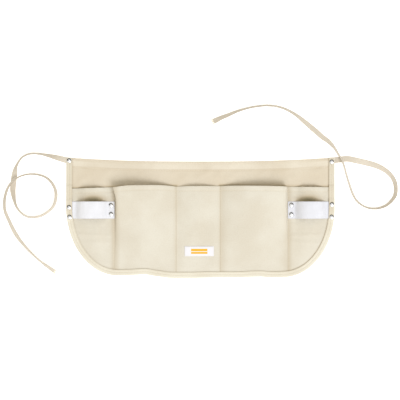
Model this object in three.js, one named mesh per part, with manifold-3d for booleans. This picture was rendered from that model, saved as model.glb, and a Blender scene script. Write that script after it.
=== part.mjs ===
import * as THREE from 'three';
import { mergeVertices } from 'three/addons/utils/BufferGeometryUtils.js';
import Module from 'manifold-3d';

// A canvas carpenter's nail apron, laid on its back with the pockets up. Millimetres. +X is to the right of
// someone who looks down at the pockets, +Y is towards the waist, and z = 0 is the surface under the apron.

const wasm = await Module();
wasm.setup();

// Outline
const apronWidth = 560;
const apronHeight = 252;
const cornerWidth = 108; // the rounded lower corner is a quarter ellipse, this wide
const cornerHeight = 143; // and this high
const waistSag = 8.6; // the middle of the waist edge hangs this far below its ends
const waistCurve = 2.5; // power of that curve: a higher one keeps more of the middle straight
const hemWave = 7.5; // the bottom edge wanders up and down by this much
const waistFoldWidth = 22; // the waist edge is folded to the back

// Cloth
const canvas = 1.2;
const tape = 1; // binding tape
const webbing = 1; // hammer loops
const patchThickness = 1;
const clearance = 0.3; // between pieces that are sewn on each other
const bindingWidth = 12.5;

// Pockets
const mouthHeight = 190.4; // from the lowest point of the apron to the pocket mouths
const centreShift = -5; // the centre pocket lies a little to the left
const centreWidth = 91.5;
const leftToolWidth = 128;
const rightToolWidth = 141;
const centreRise = 6.5; // how far the open mouths stand off the body
const sideRise = 7.5;
const leftToolRise = 21;
const rightToolRise = 18;
const leftToolLean = 9; // the outer fold leans over the side pocket
const rightToolLean = 2;
const foldFoot = 5; // seam allowance outside a tool pocket's fold
const seamAllowance = 4; // flat strip along a plain pocket seam
const leftMouthBow = 4; // a tool pocket's mouth bows up between its ends
const rightMouthBow = 1.2;
const bowSquareness = 3; // power of the bow: a higher one keeps more of the mouth straight

// Hammer loops
const loopWidth = 35;
const loopDrop = 30.5; // from the pocket mouths down to a loop's upper edge
const loopTuck = 9; // length of a loop's outer end that is hidden under the binding
const loopEndFlat = 16; // sewn down flat at the inner end
const loopLead = 9; // flat stretch between the binding and the arch
const leftLoopRise = 14;
const rightLoopRise = 16;

// Rivets
const rivetRadius = 5;
const rivetDome = 2.3;
const shankRadius = 1.5;
const backCapRadius = 3.4;
const backCapGap = 0.1; // the back caps stay just off the surface
const rivetInset = 7; // from a loop's inner end
const leftCornerDrop = 6.5; // corner rivets below the waist edge
const rightCornerDrop = 9;

// Label
const labelWidth = 60.5;
const labelHeight = 20;
const labelShift = 2.4; // to the right of the centre pocket's middle
const labelRise = 46.5; // above the lowest point of the apron

// Ties
const tieWidth = 12;
const tieThickness = 1;
const tieDrop = 6; // middle of a tie's sewn end below the waist corner
const tieSteps = 76;
const floorGap = 0.1;

// The bottom edge between the corners: place from -1, left, to 1, right, and rise as a share of hemWave
const hemTable = [
  { place: -1, rise: 0.72 },
  { place: -0.85, rise: 0.81 },
  { place: -0.68, rise: 1 },
  { place: -0.52, rise: 0.49 },
  { place: -0.34, rise: 0.01 },
  { place: -0.14, rise: 0 },
  { place: 0.09, rise: 0.125 },
  { place: 0.32, rise: 0.12 },
  { place: 0.47, rise: 0.135 },
  { place: 0.62, rise: 0.33 },
  { place: 0.73, rise: 0.38 },
  { place: 0.84, rise: 0.18 },
  { place: 0.95, rise: 0.18 },
  { place: 1, rise: 0.26 },
];

// The line of the pocket mouths: place across the apron from -1 to 1, and rise above its general level
const mouthTable = [
  { place: -1, rise: -4 },
  { place: -0.82, rise: -2.4 },
  { place: -0.64, rise: -0.9 },
  { place: -0.4, rise: -0.6 },
  { place: -0.18, rise: 0.4 },
  { place: -0.07, rise: 1.7 },
  { place: 0.14, rise: 1.6 },
  { place: 0.4, rise: 0.9 },
  { place: 0.64, rise: 0.3 },
  { place: 1, rise: -0.7 },
];

// A side pocket from the bottom of the apron, 0, to its mouth, 1: height off the body as a share of sideRise
const sideTable = [
  { share: 0, rise: 0 },
  { share: 0.14, rise: 0.04 },
  { share: 0.36, rise: 0.24 },
  { share: 0.6, rise: 0.36 },
  { share: 0.8, rise: 0.4 },
  { share: 0.92, rise: 0.78 },
  { share: 1, rise: 1 },
];

// The centre pocket in the same way, as a share of centreRise
const centreTable = [
  { share: 0, rise: 0 },
  { share: 0.08, rise: 0 },
  { share: 0.3, rise: 0.16 },
  { share: 0.62, rise: 0.42 },
  { share: 0.86, rise: 0.78 },
  { share: 1, rise: 1 },
];

// A tool pocket: width of the foot outside its fold as a share of foldFoot, height of the fold and swell of
// the front as shares of its rise, and the fold's lean
const toolTable = [
  { share: 0, foot: 0.4, fold: 0, swell: 0, lean: 0 },
  { share: 0.1, foot: 0.4, fold: 0, swell: 0, lean: 0 },
  { share: 0.2, foot: 0.4, fold: 0.01, swell: 0.18, lean: 0 },
  { share: 0.32, foot: 0.4, fold: 0.05, swell: 0.38, lean: 0 },
  { share: 0.48, foot: 0.4, fold: 0.14, swell: 0.64, lean: 0 },
  { share: 0.66, foot: 0.55, fold: 0.42, swell: 0.9, lean: 0 },
  { share: 0.84, foot: 0.9, fold: 0.8, swell: 1.15, lean: 0.14 },
  { share: 1, foot: 1, fold: 1, swell: 1.35, lean: 1 },
];

// Rivets of the loops: side, end of the loop, and distance from its upper edge as a share of loopWidth
const loopRivets = [
  { name: 'left_loop_rivet_outer_top', side: -1, outer: true, drop: 0.34 },
  { name: 'left_loop_rivet_outer_bottom', side: -1, outer: true, drop: 0.92 },
  { name: 'left_loop_rivet_inner_top', side: -1, outer: false, drop: 0.22 },
  { name: 'left_loop_rivet_inner_bottom', side: -1, outer: false, drop: 0.75 },
  { name: 'right_loop_rivet_outer_top', side: 1, outer: true, drop: 0.17 },
  { name: 'right_loop_rivet_outer_bottom', side: 1, outer: true, drop: 0.91 },
  { name: 'right_loop_rivet_inner_top', side: 1, outer: false, drop: 0.2 },
  { name: 'right_loop_rivet_inner_bottom', side: 1, outer: false, drop: 0.77 },
];

// The ties' routes from the waist corners: x to the right and y towards the waist, face, the share of the
// tape's width that is seen from above, and lift, where it crosses over itself or is sewn in
const leftRoute = [
  { x: 0, y: 0, face: 1, lift: 1.5 },
  { x: -12, y: 3.5, face: 0.94, lift: 0.8 },
  { x: -23, y: 6.5, face: 0.82, lift: 0.2 },
  { x: -33, y: 9, face: 0.64, lift: 0 },
  { x: -49, y: 12.5, face: 0.38, lift: 0 },
  { x: -64, y: 14, face: 0.32, lift: 0 },
  { x: -79, y: 12.5, face: 0.34, lift: 0 },
  { x: -91, y: 6, face: 0.38, lift: 0 },
  { x: -99, y: -4, face: 0.42, lift: 0 },
  { x: -104, y: -14, face: 0.6, lift: 0 },
  { x: -106.5, y: -24, face: 0.9, lift: 0 },
  { x: -108.5, y: -35, face: 1, lift: 0 },
  { x: -110, y: -48, face: 1, lift: 0 },
  { x: -111, y: -61, face: 0.985, lift: 0 },
  { x: -109.5, y: -73, face: 0.86, lift: 0 },
  { x: -107, y: -85, face: 0.62, lift: 0 },
  { x: -102.5, y: -98, face: 0.48, lift: 0 },
  { x: -93.5, y: -109.5, face: 0.42, lift: 0 },
  { x: -81, y: -117.5, face: 0.38, lift: 0 },
  { x: -67, y: -119, face: 0.36, lift: 0 },
  { x: -52, y: -116, face: 0.34, lift: 0 },
  { x: -38, y: -108, face: 0.34, lift: 0 },
  { x: -26.5, y: -97, face: 0.36, lift: 0 },
  { x: -21, y: -81, face: 0.4, lift: 0 },
  { x: -21, y: -65, face: 0.4, lift: 0 },
  { x: -28, y: -48.5, face: 0.34, lift: 0 },
  { x: -41, y: -36, face: 0.3, lift: 0 },
  { x: -58, y: -30, face: 0.28, lift: 0 },
  { x: -76, y: -29, face: 0.28, lift: 0.4 },
  { x: -92.5, y: -32.5, face: 0.3, lift: 2.2 },
  { x: -105, y: -39.5, face: 0.36, lift: 2.8 },
  { x: -117, y: -51, face: 0.48, lift: 2.2 },
  { x: -124.5, y: -67, face: 0.56, lift: 0.8 },
  { x: -128, y: -84, face: 0.6, lift: 0 },
  { x: -127, y: -105, face: 0.62, lift: 0 },
  { x: -119, y: -125, face: 0.68, lift: 0 },
  { x: -104, y: -155, face: 0.76, lift: 0 },
  { x: -83.5, y: -181.5, face: 0.54, lift: 0 },
  { x: -54.5, y: -209.5, face: 0.4, lift: 0 },
  { x: -25, y: -231, face: 0.72, lift: 0 },
];
const rightRoute = [
  { x: 0, y: 0, face: 1, lift: 1.5 },
  { x: 11, y: 1.5, face: 1, lift: 0.6 },
  { x: 26, y: 3, face: 1, lift: 0 },
  { x: 42, y: 0, face: 0.98, lift: 0 },
  { x: 59.5, y: -4, face: 0.97, lift: 0 },
  { x: 77, y: -8.5, face: 0.94, lift: 0 },
  { x: 93, y: -14.5, face: 0.82, lift: 0 },
  { x: 108, y: -23.5, face: 0.7, lift: 0 },
  { x: 119, y: -35, face: 0.62, lift: 0 },
  { x: 125, y: -48, face: 0.6, lift: 0 },
  { x: 126.5, y: -62, face: 0.56, lift: 0 },
  { x: 124.5, y: -74, face: 0.52, lift: 0 },
  { x: 116, y: -86, face: 0.44, lift: 0 },
  { x: 104.5, y: -95, face: 0.38, lift: 0 },
  { x: 89, y: -100, face: 0.34, lift: 0 },
  { x: 73, y: -100, face: 0.32, lift: 0 },
  { x: 57.5, y: -94.5, face: 0.34, lift: 0 },
  { x: 45, y: -84, face: 0.42, lift: 0 },
  { x: 37.5, y: -71, face: 0.46, lift: 0 },
  { x: 31, y: -53, face: 0.44, lift: 0 },
  { x: 25, y: -34, face: 0.4, lift: 0.5 },
  { x: 19.5, y: -14, face: 0.38, lift: 1.8 },
  { x: 14, y: 1, face: 0.38, lift: 2.5 },
  { x: 6.5, y: 13, face: 0.42, lift: 2 },
  { x: -1, y: 25.5, face: 0.54, lift: 0.6 },
  { x: -12, y: 38, face: 0.8, lift: 0 },
  { x: -26, y: 48.5, face: 0.9, lift: 0 },
  { x: -42, y: 62.5, face: 0.94, lift: 0 },
  { x: -60.5, y: 78, face: 0.86, lift: 0 },
  { x: -76.5, y: 91, face: 0.66, lift: 0 },
  { x: -95.5, y: 103, face: 0.5, lift: 0 },
  { x: -116, y: 111, face: 0.42, lift: 0 },
  { x: -139, y: 114, face: 0.38, lift: 0 },
  { x: -161, y: 112.5, face: 0.36, lift: 0 },
  { x: -184.5, y: 108, face: 0.38, lift: 0 },
  { x: -205.5, y: 101.5, face: 0.5, lift: 0 },
  { x: -223.5, y: 94, face: 0.66, lift: 0 },
  { x: -238.5, y: 88, face: 0.78, lift: 0 },
  { x: -252, y: 81.5, face: 0.94, lift: 0 },
];

// Levels of the layers, each lying on the one before
const bodyUnder = tape + clearance;
const bodyTop = bodyUnder + canvas;
const pocketUnder = bodyTop + clearance;
const pocketTop = pocketUnder + canvas;
const loopUnder = pocketTop + clearance;
const loopTop = loopUnder + webbing;

// Places worked out from the driving dimensions
const halfWidth = apronWidth / 2;
const waistTop = apronHeight / 2;
const lowest = -apronHeight / 2;
const mouthY = lowest + mouthHeight;
const loopUpperY = mouthY - loopDrop;
const loopLowerY = loopUpperY - loopWidth;
const centreLeft = centreShift - centreWidth / 2;
const centreRight = centreShift + centreWidth / 2;
const leftSeam = centreLeft - leftToolWidth;
const rightSeam = centreRight + rightToolWidth;
const cornerX = halfWidth - cornerWidth;
const edgeInset = tape + clearance; // cloth edges lie this far inside the binding's fold

const clamp = (value) => Math.min(1, Math.max(0, value));
const smooth = (value) => clamp(value) ** 2 * (3 - 2 * clamp(value));

// Value of a table's column at a place along its key, on a smooth curve that never overshoots its rows
function lookUp(table, key, column, at) {
  const last = table.length - 1;
  if (at <= table[0][key]) return table[0][column];
  if (at >= table[last][key]) return table[last][column];
  const i = table.findIndex((row) => row[key] > at) - 1;
  const chord = (j) => (table[j + 1][column] - table[j][column]) / (table[j + 1][key] - table[j][key]);
  const slope = (j) => {
    if (j === 0 || j === last) return j === 0 ? chord(0) : chord(last - 1);
    const before = chord(j - 1);
    const after = chord(j);
    return before * after > 0 ? (2 * before * after) / (before + after) : 0;
  };
  const step = table[i + 1][key] - table[i][key];
  const t = (at - table[i][key]) / step;
  const rise = table[i + 1][column] - table[i][column];
  return table[i][column] + rise * t * t * (3 - 2 * t)
    + step * t * (1 - t) * ((1 - t) * slope(i) - t * slope(i + 1));
}

const waistY = (x) => waistTop - waistSag * (1 - Math.min(1, Math.abs(x) / halfWidth) ** waistCurve);
const mouthAt = (x) => mouthY + lookUp(mouthTable, 'place', 'rise', x / halfWidth);
const hemY = (x) => lowest + hemWave * lookUp(hemTable, 'place', 'rise', x / cornerX);
const cornerLevel = (side) => hemY(side * cornerX) + cornerHeight; // height of a rounded corner's centre

// Bottom of the apron's outline at x, this far inside the edge
function bottomY(x, inset) {
  const beyond = Math.abs(x) - cornerX;
  if (beyond <= 0) return hemY(x) + inset;
  const share = Math.min(1, beyond / (cornerWidth - inset));
  return cornerLevel(Math.sign(x)) - (cornerHeight - inset) * Math.sqrt(1 - share * share);
}

// Half width of the outline at y, on the left, -1, or the right, 1
function sideX(y, inset, side) {
  const drop = cornerLevel(side) - y;
  if (drop <= 0) return halfWidth - inset;
  const share = Math.min(1, drop / (cornerHeight - inset));
  return cornerX + (cornerWidth - inset) * Math.sqrt(1 - share * share);
}

// Distance from a point on the apron to its left, right or bottom edge
function edgeDistance(x, y) {
  const beyond = Math.abs(x) - cornerX;
  const toSide = halfWidth - Math.abs(x);
  if (beyond <= 0) return Math.min(toSide, y - hemY(x));
  const drop = cornerLevel(Math.sign(x)) - y;
  if (drop <= 0) return toSide;
  const across = beyond / cornerWidth;
  const down = drop / cornerHeight;
  const radius = Math.hypot(across, down);
  return ((1 - radius) * radius) / Math.hypot(across / cornerWidth, down / cornerHeight);
}

// Underside of the binding's upper leg at a level of the apron's side, over the pocket and the loop's end
const coverRamp = 7;
const coverMargin = 2;
function coverUnder(y) {
  const overPocket = smooth((mouthY + coverRamp - y) / coverRamp);
  const above = (loopUpperY + coverMargin + coverRamp - y) / coverRamp;
  const below = (y - loopLowerY + coverMargin + coverRamp) / coverRamp;
  const overLoop = smooth(Math.min(above, below));
  return bodyTop + clearance + (pocketTop - bodyTop) * overPocket + (webbing + clearance) * overLoop;
}

// Stations along one side, from the waist to the start of the straight hem, with the inward direction
const cornerSteps = 18;
function sideStations(side) {
  const cornerY = cornerLevel(side);
  const levels = [
    mouthY + coverRamp, mouthY, loopUpperY + coverMargin + coverRamp, loopUpperY + coverMargin,
    loopLowerY - coverMargin, loopLowerY - coverMargin - coverRamp,
  ];
  const angles = levels.filter((y) => y < cornerY).map((y) => Math.asin((cornerY - y) / cornerHeight));
  const step = Math.PI / 2 / cornerSteps;
  for (let i = 0; i <= cornerSteps; i += 1) {
    if (angles.every((angle) => Math.abs(angle - i * step) > step / 3)) angles.push(i * step);
  }
  const sides = levels.filter((y) => y > cornerY + coverMargin);
  const straight = [waistTop, ...sides].sort((a, b) => b - a)
    .map((y) => ({ x: side * halfWidth, y, inX: -side, inY: 0 }));
  const corner = angles.sort((a, b) => a - b).map((angle) => {
    const inX = Math.cos(angle) / cornerWidth;
    const inY = Math.sin(angle) / cornerHeight;
    const length = Math.hypot(inX, inY);
    return {
      x: side * (cornerX + cornerWidth * Math.cos(angle)),
      y: cornerY - cornerHeight * Math.sin(angle),
      inX: (-side * inX) / length,
      inY: inY / length,
    };
  });
  return [...straight, ...corner];
}

const hemSteps = 22;
function edgeStations() {
  const hem = [];
  for (let i = 1; i < hemSteps; i += 1) {
    const x = -cornerX + (2 * cornerX * i) / hemSteps;
    hem.push({ x, y: hemY(x), inX: 0, inY: 1 });
  }
  return [...sideStations(-1), ...hem, ...sideStations(1).reverse()];
}

// Mesh of a grid of rings: each ring is closed, and the two ends are capped by fans
function ringMesh(rings) {
  const size = rings[0].length;
  const positions = rings.flat().flatMap((p) => [p.x, p.y, p.z]);
  const index = [];
  for (let i = 0; i < rings.length - 1; i += 1) {
    for (let j = 0; j < size; j += 1) {
      const a = i * size + j;
      const b = i * size + ((j + 1) % size);
      index.push(a, b, b + size, a, b + size, a + size);
    }
  }
  const cap = THREE.ShapeUtils.triangulateShape(flatten(rings[0]), []);
  const end = (rings.length - 1) * size;
  for (const [a, b, c] of cap) {
    index.push(c, b, a);
    index.push(end + a, end + b, end + c);
  }
  const geometry = new THREE.BufferGeometry();
  geometry.setAttribute('position', new THREE.Float32BufferAttribute(positions, 3));
  geometry.setIndex(index);
  return outward(geometry);
}

// A ring's points in its own plane, for its cap
function flatten(ring) {
  const origin = ring[0];
  const normal = new THREE.Vector3();
  for (let i = 0; i < ring.length; i += 1) {
    normal.add(new THREE.Vector3().crossVectors(ring[i], ring[(i + 1) % ring.length]));
  }
  normal.normalize();
  const along = new THREE.Vector3().subVectors(ring[1], origin).normalize();
  const across = new THREE.Vector3().crossVectors(normal, along);
  return ring.map((p) => {
    const offset = new THREE.Vector3().subVectors(p, origin);
    return new THREE.Vector2(offset.dot(along), offset.dot(across));
  });
}

// Turns a closed mesh round where its faces point inwards
function outward(geometry) {
  const p = geometry.attributes.position;
  const index = geometry.index.array;
  const corner = (i) => new THREE.Vector3().fromBufferAttribute(p, index[i]);
  let volume = 0;
  for (let i = 0; i < index.length; i += 3) volume += corner(i).dot(corner(i + 1).cross(corner(i + 2)));
  if (volume < 0) {
    for (let i = 0; i < index.length; i += 3) [index[i], index[i + 1]] = [index[i + 1], index[i]];
  }
  return geometry;
}

// A sheet of cloth: a grid of points on its middle surface, thickened along the grid's normals
function sheet(grid, thickness) {
  const columns = grid.length;
  const rows = grid[0].length;
  const at = (i, j) => grid[Math.min(columns - 1, Math.max(0, i))][Math.min(rows - 1, Math.max(0, j))];
  const layers = [1, -1].map((side) => grid.flatMap((column, i) => column.map((point, j) => {
    const across = new THREE.Vector3().subVectors(at(i + 1, j), at(i - 1, j));
    const along = new THREE.Vector3().subVectors(at(i, j + 1), at(i, j - 1));
    const normal = across.cross(along).normalize();
    return point.clone().addScaledVector(normal, (side * thickness) / 2);
  })));
  const index = [];
  const back = columns * rows;
  const id = (i, j) => i * rows + j;
  for (let i = 0; i < columns - 1; i += 1) {
    for (let j = 0; j < rows - 1; j += 1) {
      const [a, b, c, d] = [id(i, j), id(i + 1, j), id(i + 1, j + 1), id(i, j + 1)];
      index.push(a, b, c, a, c, d, back + a, back + c, back + b, back + a, back + d, back + c);
    }
  }
  const border = [];
  for (let i = 0; i < columns - 1; i += 1) border.push(id(i, 0));
  for (let j = 0; j < rows - 1; j += 1) border.push(id(columns - 1, j));
  for (let i = columns - 1; i > 0; i -= 1) border.push(id(i, rows - 1));
  for (let j = rows - 1; j > 0; j -= 1) border.push(id(0, j));
  border.forEach((a, k) => {
    const b = border[(k + 1) % border.length];
    index.push(a, back + a, b, b, back + a, back + b);
  });
  const geometry = new THREE.BufferGeometry();
  const positions = layers.flat().flatMap((p) => [p.x, p.y, p.z]);
  geometry.setAttribute('position', new THREE.Float32BufferAttribute(positions, 3));
  geometry.setIndex(index);
  return outward(geometry);
}

// Rounds the corners of a section by moving each inner point towards the middle of its neighbours
function softened(section, passes) {
  let points = section;
  for (let pass = 0; pass < passes; pass += 1) {
    points = points.map((p, i) => {
      if (i === 0 || i === points.length - 1) return p;
      const middle = new THREE.Vector2().addVectors(points[i - 1], points[i + 1]).multiplyScalar(0.5);
      return p.clone().lerp(middle, 0.5);
    });
  }
  return points;
}

// Booleans
function toSolid(geometry) {
  const plain = geometry.clone();
  plain.deleteAttribute('normal');
  plain.deleteAttribute('uv');
  const merged = mergeVertices(plain, 1e-4);
  return new wasm.Manifold(new wasm.Mesh({
    numProp: 3,
    vertProperties: new Float32Array(merged.attributes.position.array),
    triVerts: new Uint32Array(merged.index.array),
  }));
}

function toGeometry(solid) {
  const mesh = solid.getMesh();
  const geometry = new THREE.BufferGeometry();
  geometry.setAttribute('position', new THREE.Float32BufferAttribute(mesh.vertProperties, 3));
  geometry.setIndex([...mesh.triVerts]);
  return geometry;
}

const holeSides = 10;
function post(x, y, radius, from, to) {
  const geometry = new THREE.CylinderGeometry(radius, radius, to - from, holeSides);
  geometry.rotateX(Math.PI / 2);
  geometry.translate(x, y, (from + to) / 2);
  return toSolid(geometry);
}

// Rivets: where each one goes through, and the level that its head lies on
const innerEndX = (side) => (side < 0 ? leftSeam : rightSeam) + side * 2 * clearance;
const cornerRivet = (name, side, drop) => {
  const y = waistTop - drop;
  const x = side * (sideX(y, 0, side) - bindingWidth / 2);
  return { name, x, y, outer: true, seat: bodyTop + clearance + tape };
};
const rivets = [
  cornerRivet('left_corner_rivet', -1, leftCornerDrop),
  cornerRivet('right_corner_rivet', 1, rightCornerDrop),
  ...loopRivets.map(({ name, side, outer, drop }) => {
    const y = loopUpperY - loopWidth * drop;
    const onBinding = side * (sideX(y, 0, side) - bindingWidth / 2);
    const x = outer ? onBinding : innerEndX(side) + side * rivetInset;
    return { name, x, y, outer, onLoop: true, side, seat: outer ? loopTop + clearance + tape : loopTop };
  }),
];

// A cloth piece with a hole for the shank of each rivet that goes through it
function pierced(geometry, through) {
  let solid = toSolid(geometry);
  for (const { x, y, seat } of through) {
    solid = solid.subtract(post(x, y, shankRadius + clearance, -1, seat + rivetRadius));
  }
  return toGeometry(solid);
}

// A rivet's dome: radius and level as shares of rivetRadius and rivetDome
const domeTable = [
  { radius: 1, level: 0.28 },
  { radius: 0.8, level: 0.72 },
  { radius: 0.42, level: 0.95 },
  { radius: 0, level: 1 },
];

function rivetGeometry({ x, y, seat }) {
  const headUnder = seat + clearance;
  const capTop = bodyUnder - clearance;
  const profile = [
    [0, backCapGap], [backCapRadius, backCapGap], [backCapRadius, capTop], [shankRadius, capTop],
    [shankRadius, headUnder], [rivetRadius, headUnder],
    ...domeTable.map(({ radius, level }) => [radius * rivetRadius, headUnder + level * rivetDome]),
  ].map(([radius, level]) => new THREE.Vector2(radius, level));
  const geometry = new THREE.LatheGeometry(profile, holeSides);
  geometry.rotateX(Math.PI / 2);
  geometry.translate(x, y, 0);
  return toGeometry(toSolid(geometry));
}

// Body: a flat panel inside the binding, with the waist edge folded to the back
function panel(points, from, to) {
  const shape = new THREE.Shape(points);
  const geometry = new THREE.ExtrudeGeometry(shape, { depth: to - from, bevelEnabled: false });
  geometry.translate(0, 0, from);
  return geometry;
}

const foldEnd = halfWidth - bindingWidth - clearance;
function waistPoints(reach) {
  const points = [];
  const steps = 16;
  for (let i = 0; i <= steps; i += 1) {
    const x = foldEnd * (1 - (2 * i) / steps);
    points.push(new THREE.Vector2(x, waistY(x)));
  }
  if (reach > foldEnd) {
    points.unshift(new THREE.Vector2(reach, waistY(reach)));
    points.push(new THREE.Vector2(-reach, waistY(reach)));
  }
  return points;
}

function bodyGeometry() {
  const edge = edgeStations()
    .map(({ x, y, inX, inY }) => new THREE.Vector2(x + inX * edgeInset, y + inY * edgeInset));
  const outline = [...edge.slice(1, -1), ...waistPoints(halfWidth - edgeInset)];
  const upper = waistPoints(foldEnd);
  const lower = upper.map((p) => new THREE.Vector2(p.x, p.y - waistFoldWidth)).reverse();
  const fold = panel([...upper, ...lower], 0, bodyUnder + canvas / 2);
  const solid = toSolid(panel(outline, bodyUnder, bodyTop)).add(toSolid(fold));
  return pierced(toGeometry(solid), rivets);
}

// Binding: a folded tape round the left, bottom and right edges. Its section is a U that opens inwards
function bindingGeometry() {
  const bend = tape;
  const rings = edgeStations().map(({ x, y, inX, inY }) => {
    const under = coverUnder(y);
    const top = under + tape;
    return [
      [bindingWidth, 0], [bindingWidth, tape], [tape, tape], [tape, under], [bindingWidth, under],
      [bindingWidth, top], [bend, top], [0, top - bend], [0, bend], [bend, 0],
    ].map(([inward, z]) => {
      const px = x + inX * inward;
      const py = y === waistTop ? waistY(px) : y + inY * inward;
      return new THREE.Vector3(px, py, z);
    });
  });
  const outer = rivets.filter((rivet) => rivet.outer);
  let solid = toSolid(pierced(ringMesh(rings), outer));
  for (const { x, y } of outer) {
    solid = solid.subtract(post(x, y, backCapRadius + clearance, -1, bodyUnder));
  }
  return toGeometry(solid);
}

// Side pockets: wide open at the mouth, pressed down under the hammer loop
const sideColumns = 13;
const sideRows = 11;
const sideLead = 8; // flat strip between the binding and the swelling
const sideBend = 0.34; // share of the free width over which the front rises
const sideCrowding = 1.35; // the grid's columns lie closer together towards the outer edge
function sidePocketGeometry(side) {
  const outer = halfWidth - edgeInset;
  const inner = Math.abs(side < 0 ? leftSeam : rightSeam) + clearance;
  const grid = [];
  for (let i = 0; i <= sideColumns; i += 1) {
    const x = outer + (inner - outer) * (i / sideColumns) ** sideCrowding;
    const bottom = bottomY(side * x, edgeInset);
    const top = mouthAt(side * x);
    const column = [];
    for (let j = 0; j <= sideRows; j += 1) {
      const y = bottom + (top - bottom) * (j / sideRows);
      const share = (y - lowest) / (mouthY - lowest);
      const free = outer - bindingWidth - inner - loopEndFlat;
      const offEdge = smooth((edgeDistance(side * x, y) - bindingWidth - sideLead) / (free * sideBend));
      const offSeam = smooth((x - inner - loopEndFlat) / (free * sideBend));
      const rise = sideRise * lookUp(sideTable, 'share', 'rise', share) * offEdge * offSeam;
      column.push(new THREE.Vector3(side * x, y, pocketUnder + canvas / 2 + rise));
    }
    grid.push(column);
  }
  const through = rivets.filter((rivet) => rivet.onLoop && rivet.side === side);
  return pierced(sheet(grid, canvas), through);
}

// Tool pockets: an outer fold that stands up beside the side pocket, and a swelling front
const toolPanelSteps = 13;
const toolWallSteps = 4;
const toolRows = 11;
function toolSection(width, rise, lean, row) {
  const fold = rise * row('fold');
  const foot = foldFoot * row('foot');
  const tip = foot - lean * row('lean');
  const points = [[0, 0], [foot * 0.6, 0]];
  for (let i = 0; i <= toolWallSteps; i += 1) {
    const t = i / toolWallSteps;
    points.push([foot + (tip - foot) * t, fold * t]);
  }
  for (let i = 1; i <= toolPanelSteps; i += 1) {
    const t = i / toolPanelSteps;
    const height = (1 - t) * (1 - t) * fold + 2 * t * (1 - t) * rise * row('swell');
    points.push([tip + (width - seamAllowance - tip) * t, height]);
  }
  points.push([width, 0]);
  return softened(points.map(([q, z]) => new THREE.Vector2(q, z)), 2);
}

function toolPocketGeometry(side, seam, otherSeam, rise, lean, mouthBow) {
  const start = Math.abs(seam) - clearance / 2;
  const width = Math.abs(seam - otherSeam) - clearance;
  const rows = [];
  for (let j = 0; j <= toolRows; j += 1) {
    const share = j / toolRows;
    const section = toolSection(width, rise, lean, (column) => lookUp(toolTable, 'share', column, share));
    rows.push(section.map(({ x: q, y: height }) => {
      const x = side * (start - q);
      const bow = mouthBow * (1 - Math.abs(2 * clamp(q / width) - 1) ** bowSquareness);
      const bottom = bottomY(x, edgeInset);
      const y = bottom + (mouthAt(x) + bow - bottom) * share;
      return new THREE.Vector3(x, y, pocketUnder + canvas / 2 + height);
    }));
  }
  return sheet(rows, canvas);
}

// Centre pocket: nearly flat, a little open at the mouth
const centreColumns = 12;
const centreRows = 9;
const centreArch = 1.3; // power of the arch across the pocket
function centreHeight(x, y) {
  const across = (Math.abs(x - centreShift) * 2) / (centreWidth - 2 * seamAllowance);
  const share = (y - lowest) / (mouthY - lowest);
  const arch = across < 1 ? (1 - across ** 2) ** centreArch : 0;
  return centreRise * lookUp(centreTable, 'share', 'rise', share) * arch;
}

function centrePocketGeometry() {
  const grid = [];
  for (let i = 0; i <= centreColumns; i += 1) {
    const x = centreLeft + clearance / 2 + (centreWidth - clearance) * (i / centreColumns);
    const bottom = bottomY(x, edgeInset);
    const top = mouthAt(x);
    const column = [];
    for (let j = 0; j <= centreRows; j += 1) {
      const y = bottom + (top - bottom) * (j / centreRows);
      column.push(new THREE.Vector3(x, y, pocketUnder + canvas / 2 + centreHeight(x, y)));
    }
    grid.push(column);
  }
  return sheet(grid, canvas);
}

// Label: a small patch that follows the front of the centre pocket
function labelGeometry() {
  const columns = 8;
  const rows = 3;
  const lift = pocketTop + clearance + patchThickness / 2;
  const grid = [];
  for (let i = 0; i <= columns; i += 1) {
    const x = centreShift + labelShift + labelWidth * (i / columns - 0.5);
    const column = [];
    for (let j = 0; j <= rows; j += 1) {
      const y = lowest + labelRise + labelHeight * (j / rows);
      column.push(new THREE.Vector3(x, y, lift + centreHeight(x, y)));
    }
    grid.push(column);
  }
  return sheet(grid, patchThickness);
}

// Hammer loops: webbing from under the binding, over the side pocket, to the tool pocket's seam
const loopSteps = 14;
const loopEase = 2; // the arch starts with a bend this long
function loopGeometry(side, rise) {
  const outer = halfWidth - bindingWidth + loopTuck;
  const inner = Math.abs(innerEndX(side));
  const length = outer - inner;
  const freeFrom = loopTuck + loopLead;
  const freeTo = length - loopEndFlat;
  const section = [new THREE.Vector2(0, 0), new THREE.Vector2(freeFrom - loopEase, 0)];
  for (let i = 0; i <= loopSteps; i += 1) {
    const t = i / loopSteps;
    const height = rise * (1 - Math.abs(2 * t - 1) ** 3);
    section.push(new THREE.Vector2(freeFrom + (freeTo - freeFrom) * t, height));
  }
  section.push(new THREE.Vector2(freeTo + loopEase, 0), new THREE.Vector2(length, 0));
  const level = loopUnder + webbing / 2;
  const grid = softened(section, 1).map(({ x: q, y: height }) => [loopLowerY, loopUpperY]
    .map((y) => new THREE.Vector3(side * (outer - q), y, level + height)));
  const through = rivets.filter((rivet) => rivet.onLoop && rivet.side === side);
  return pierced(sheet(grid, webbing), through);
}

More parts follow.
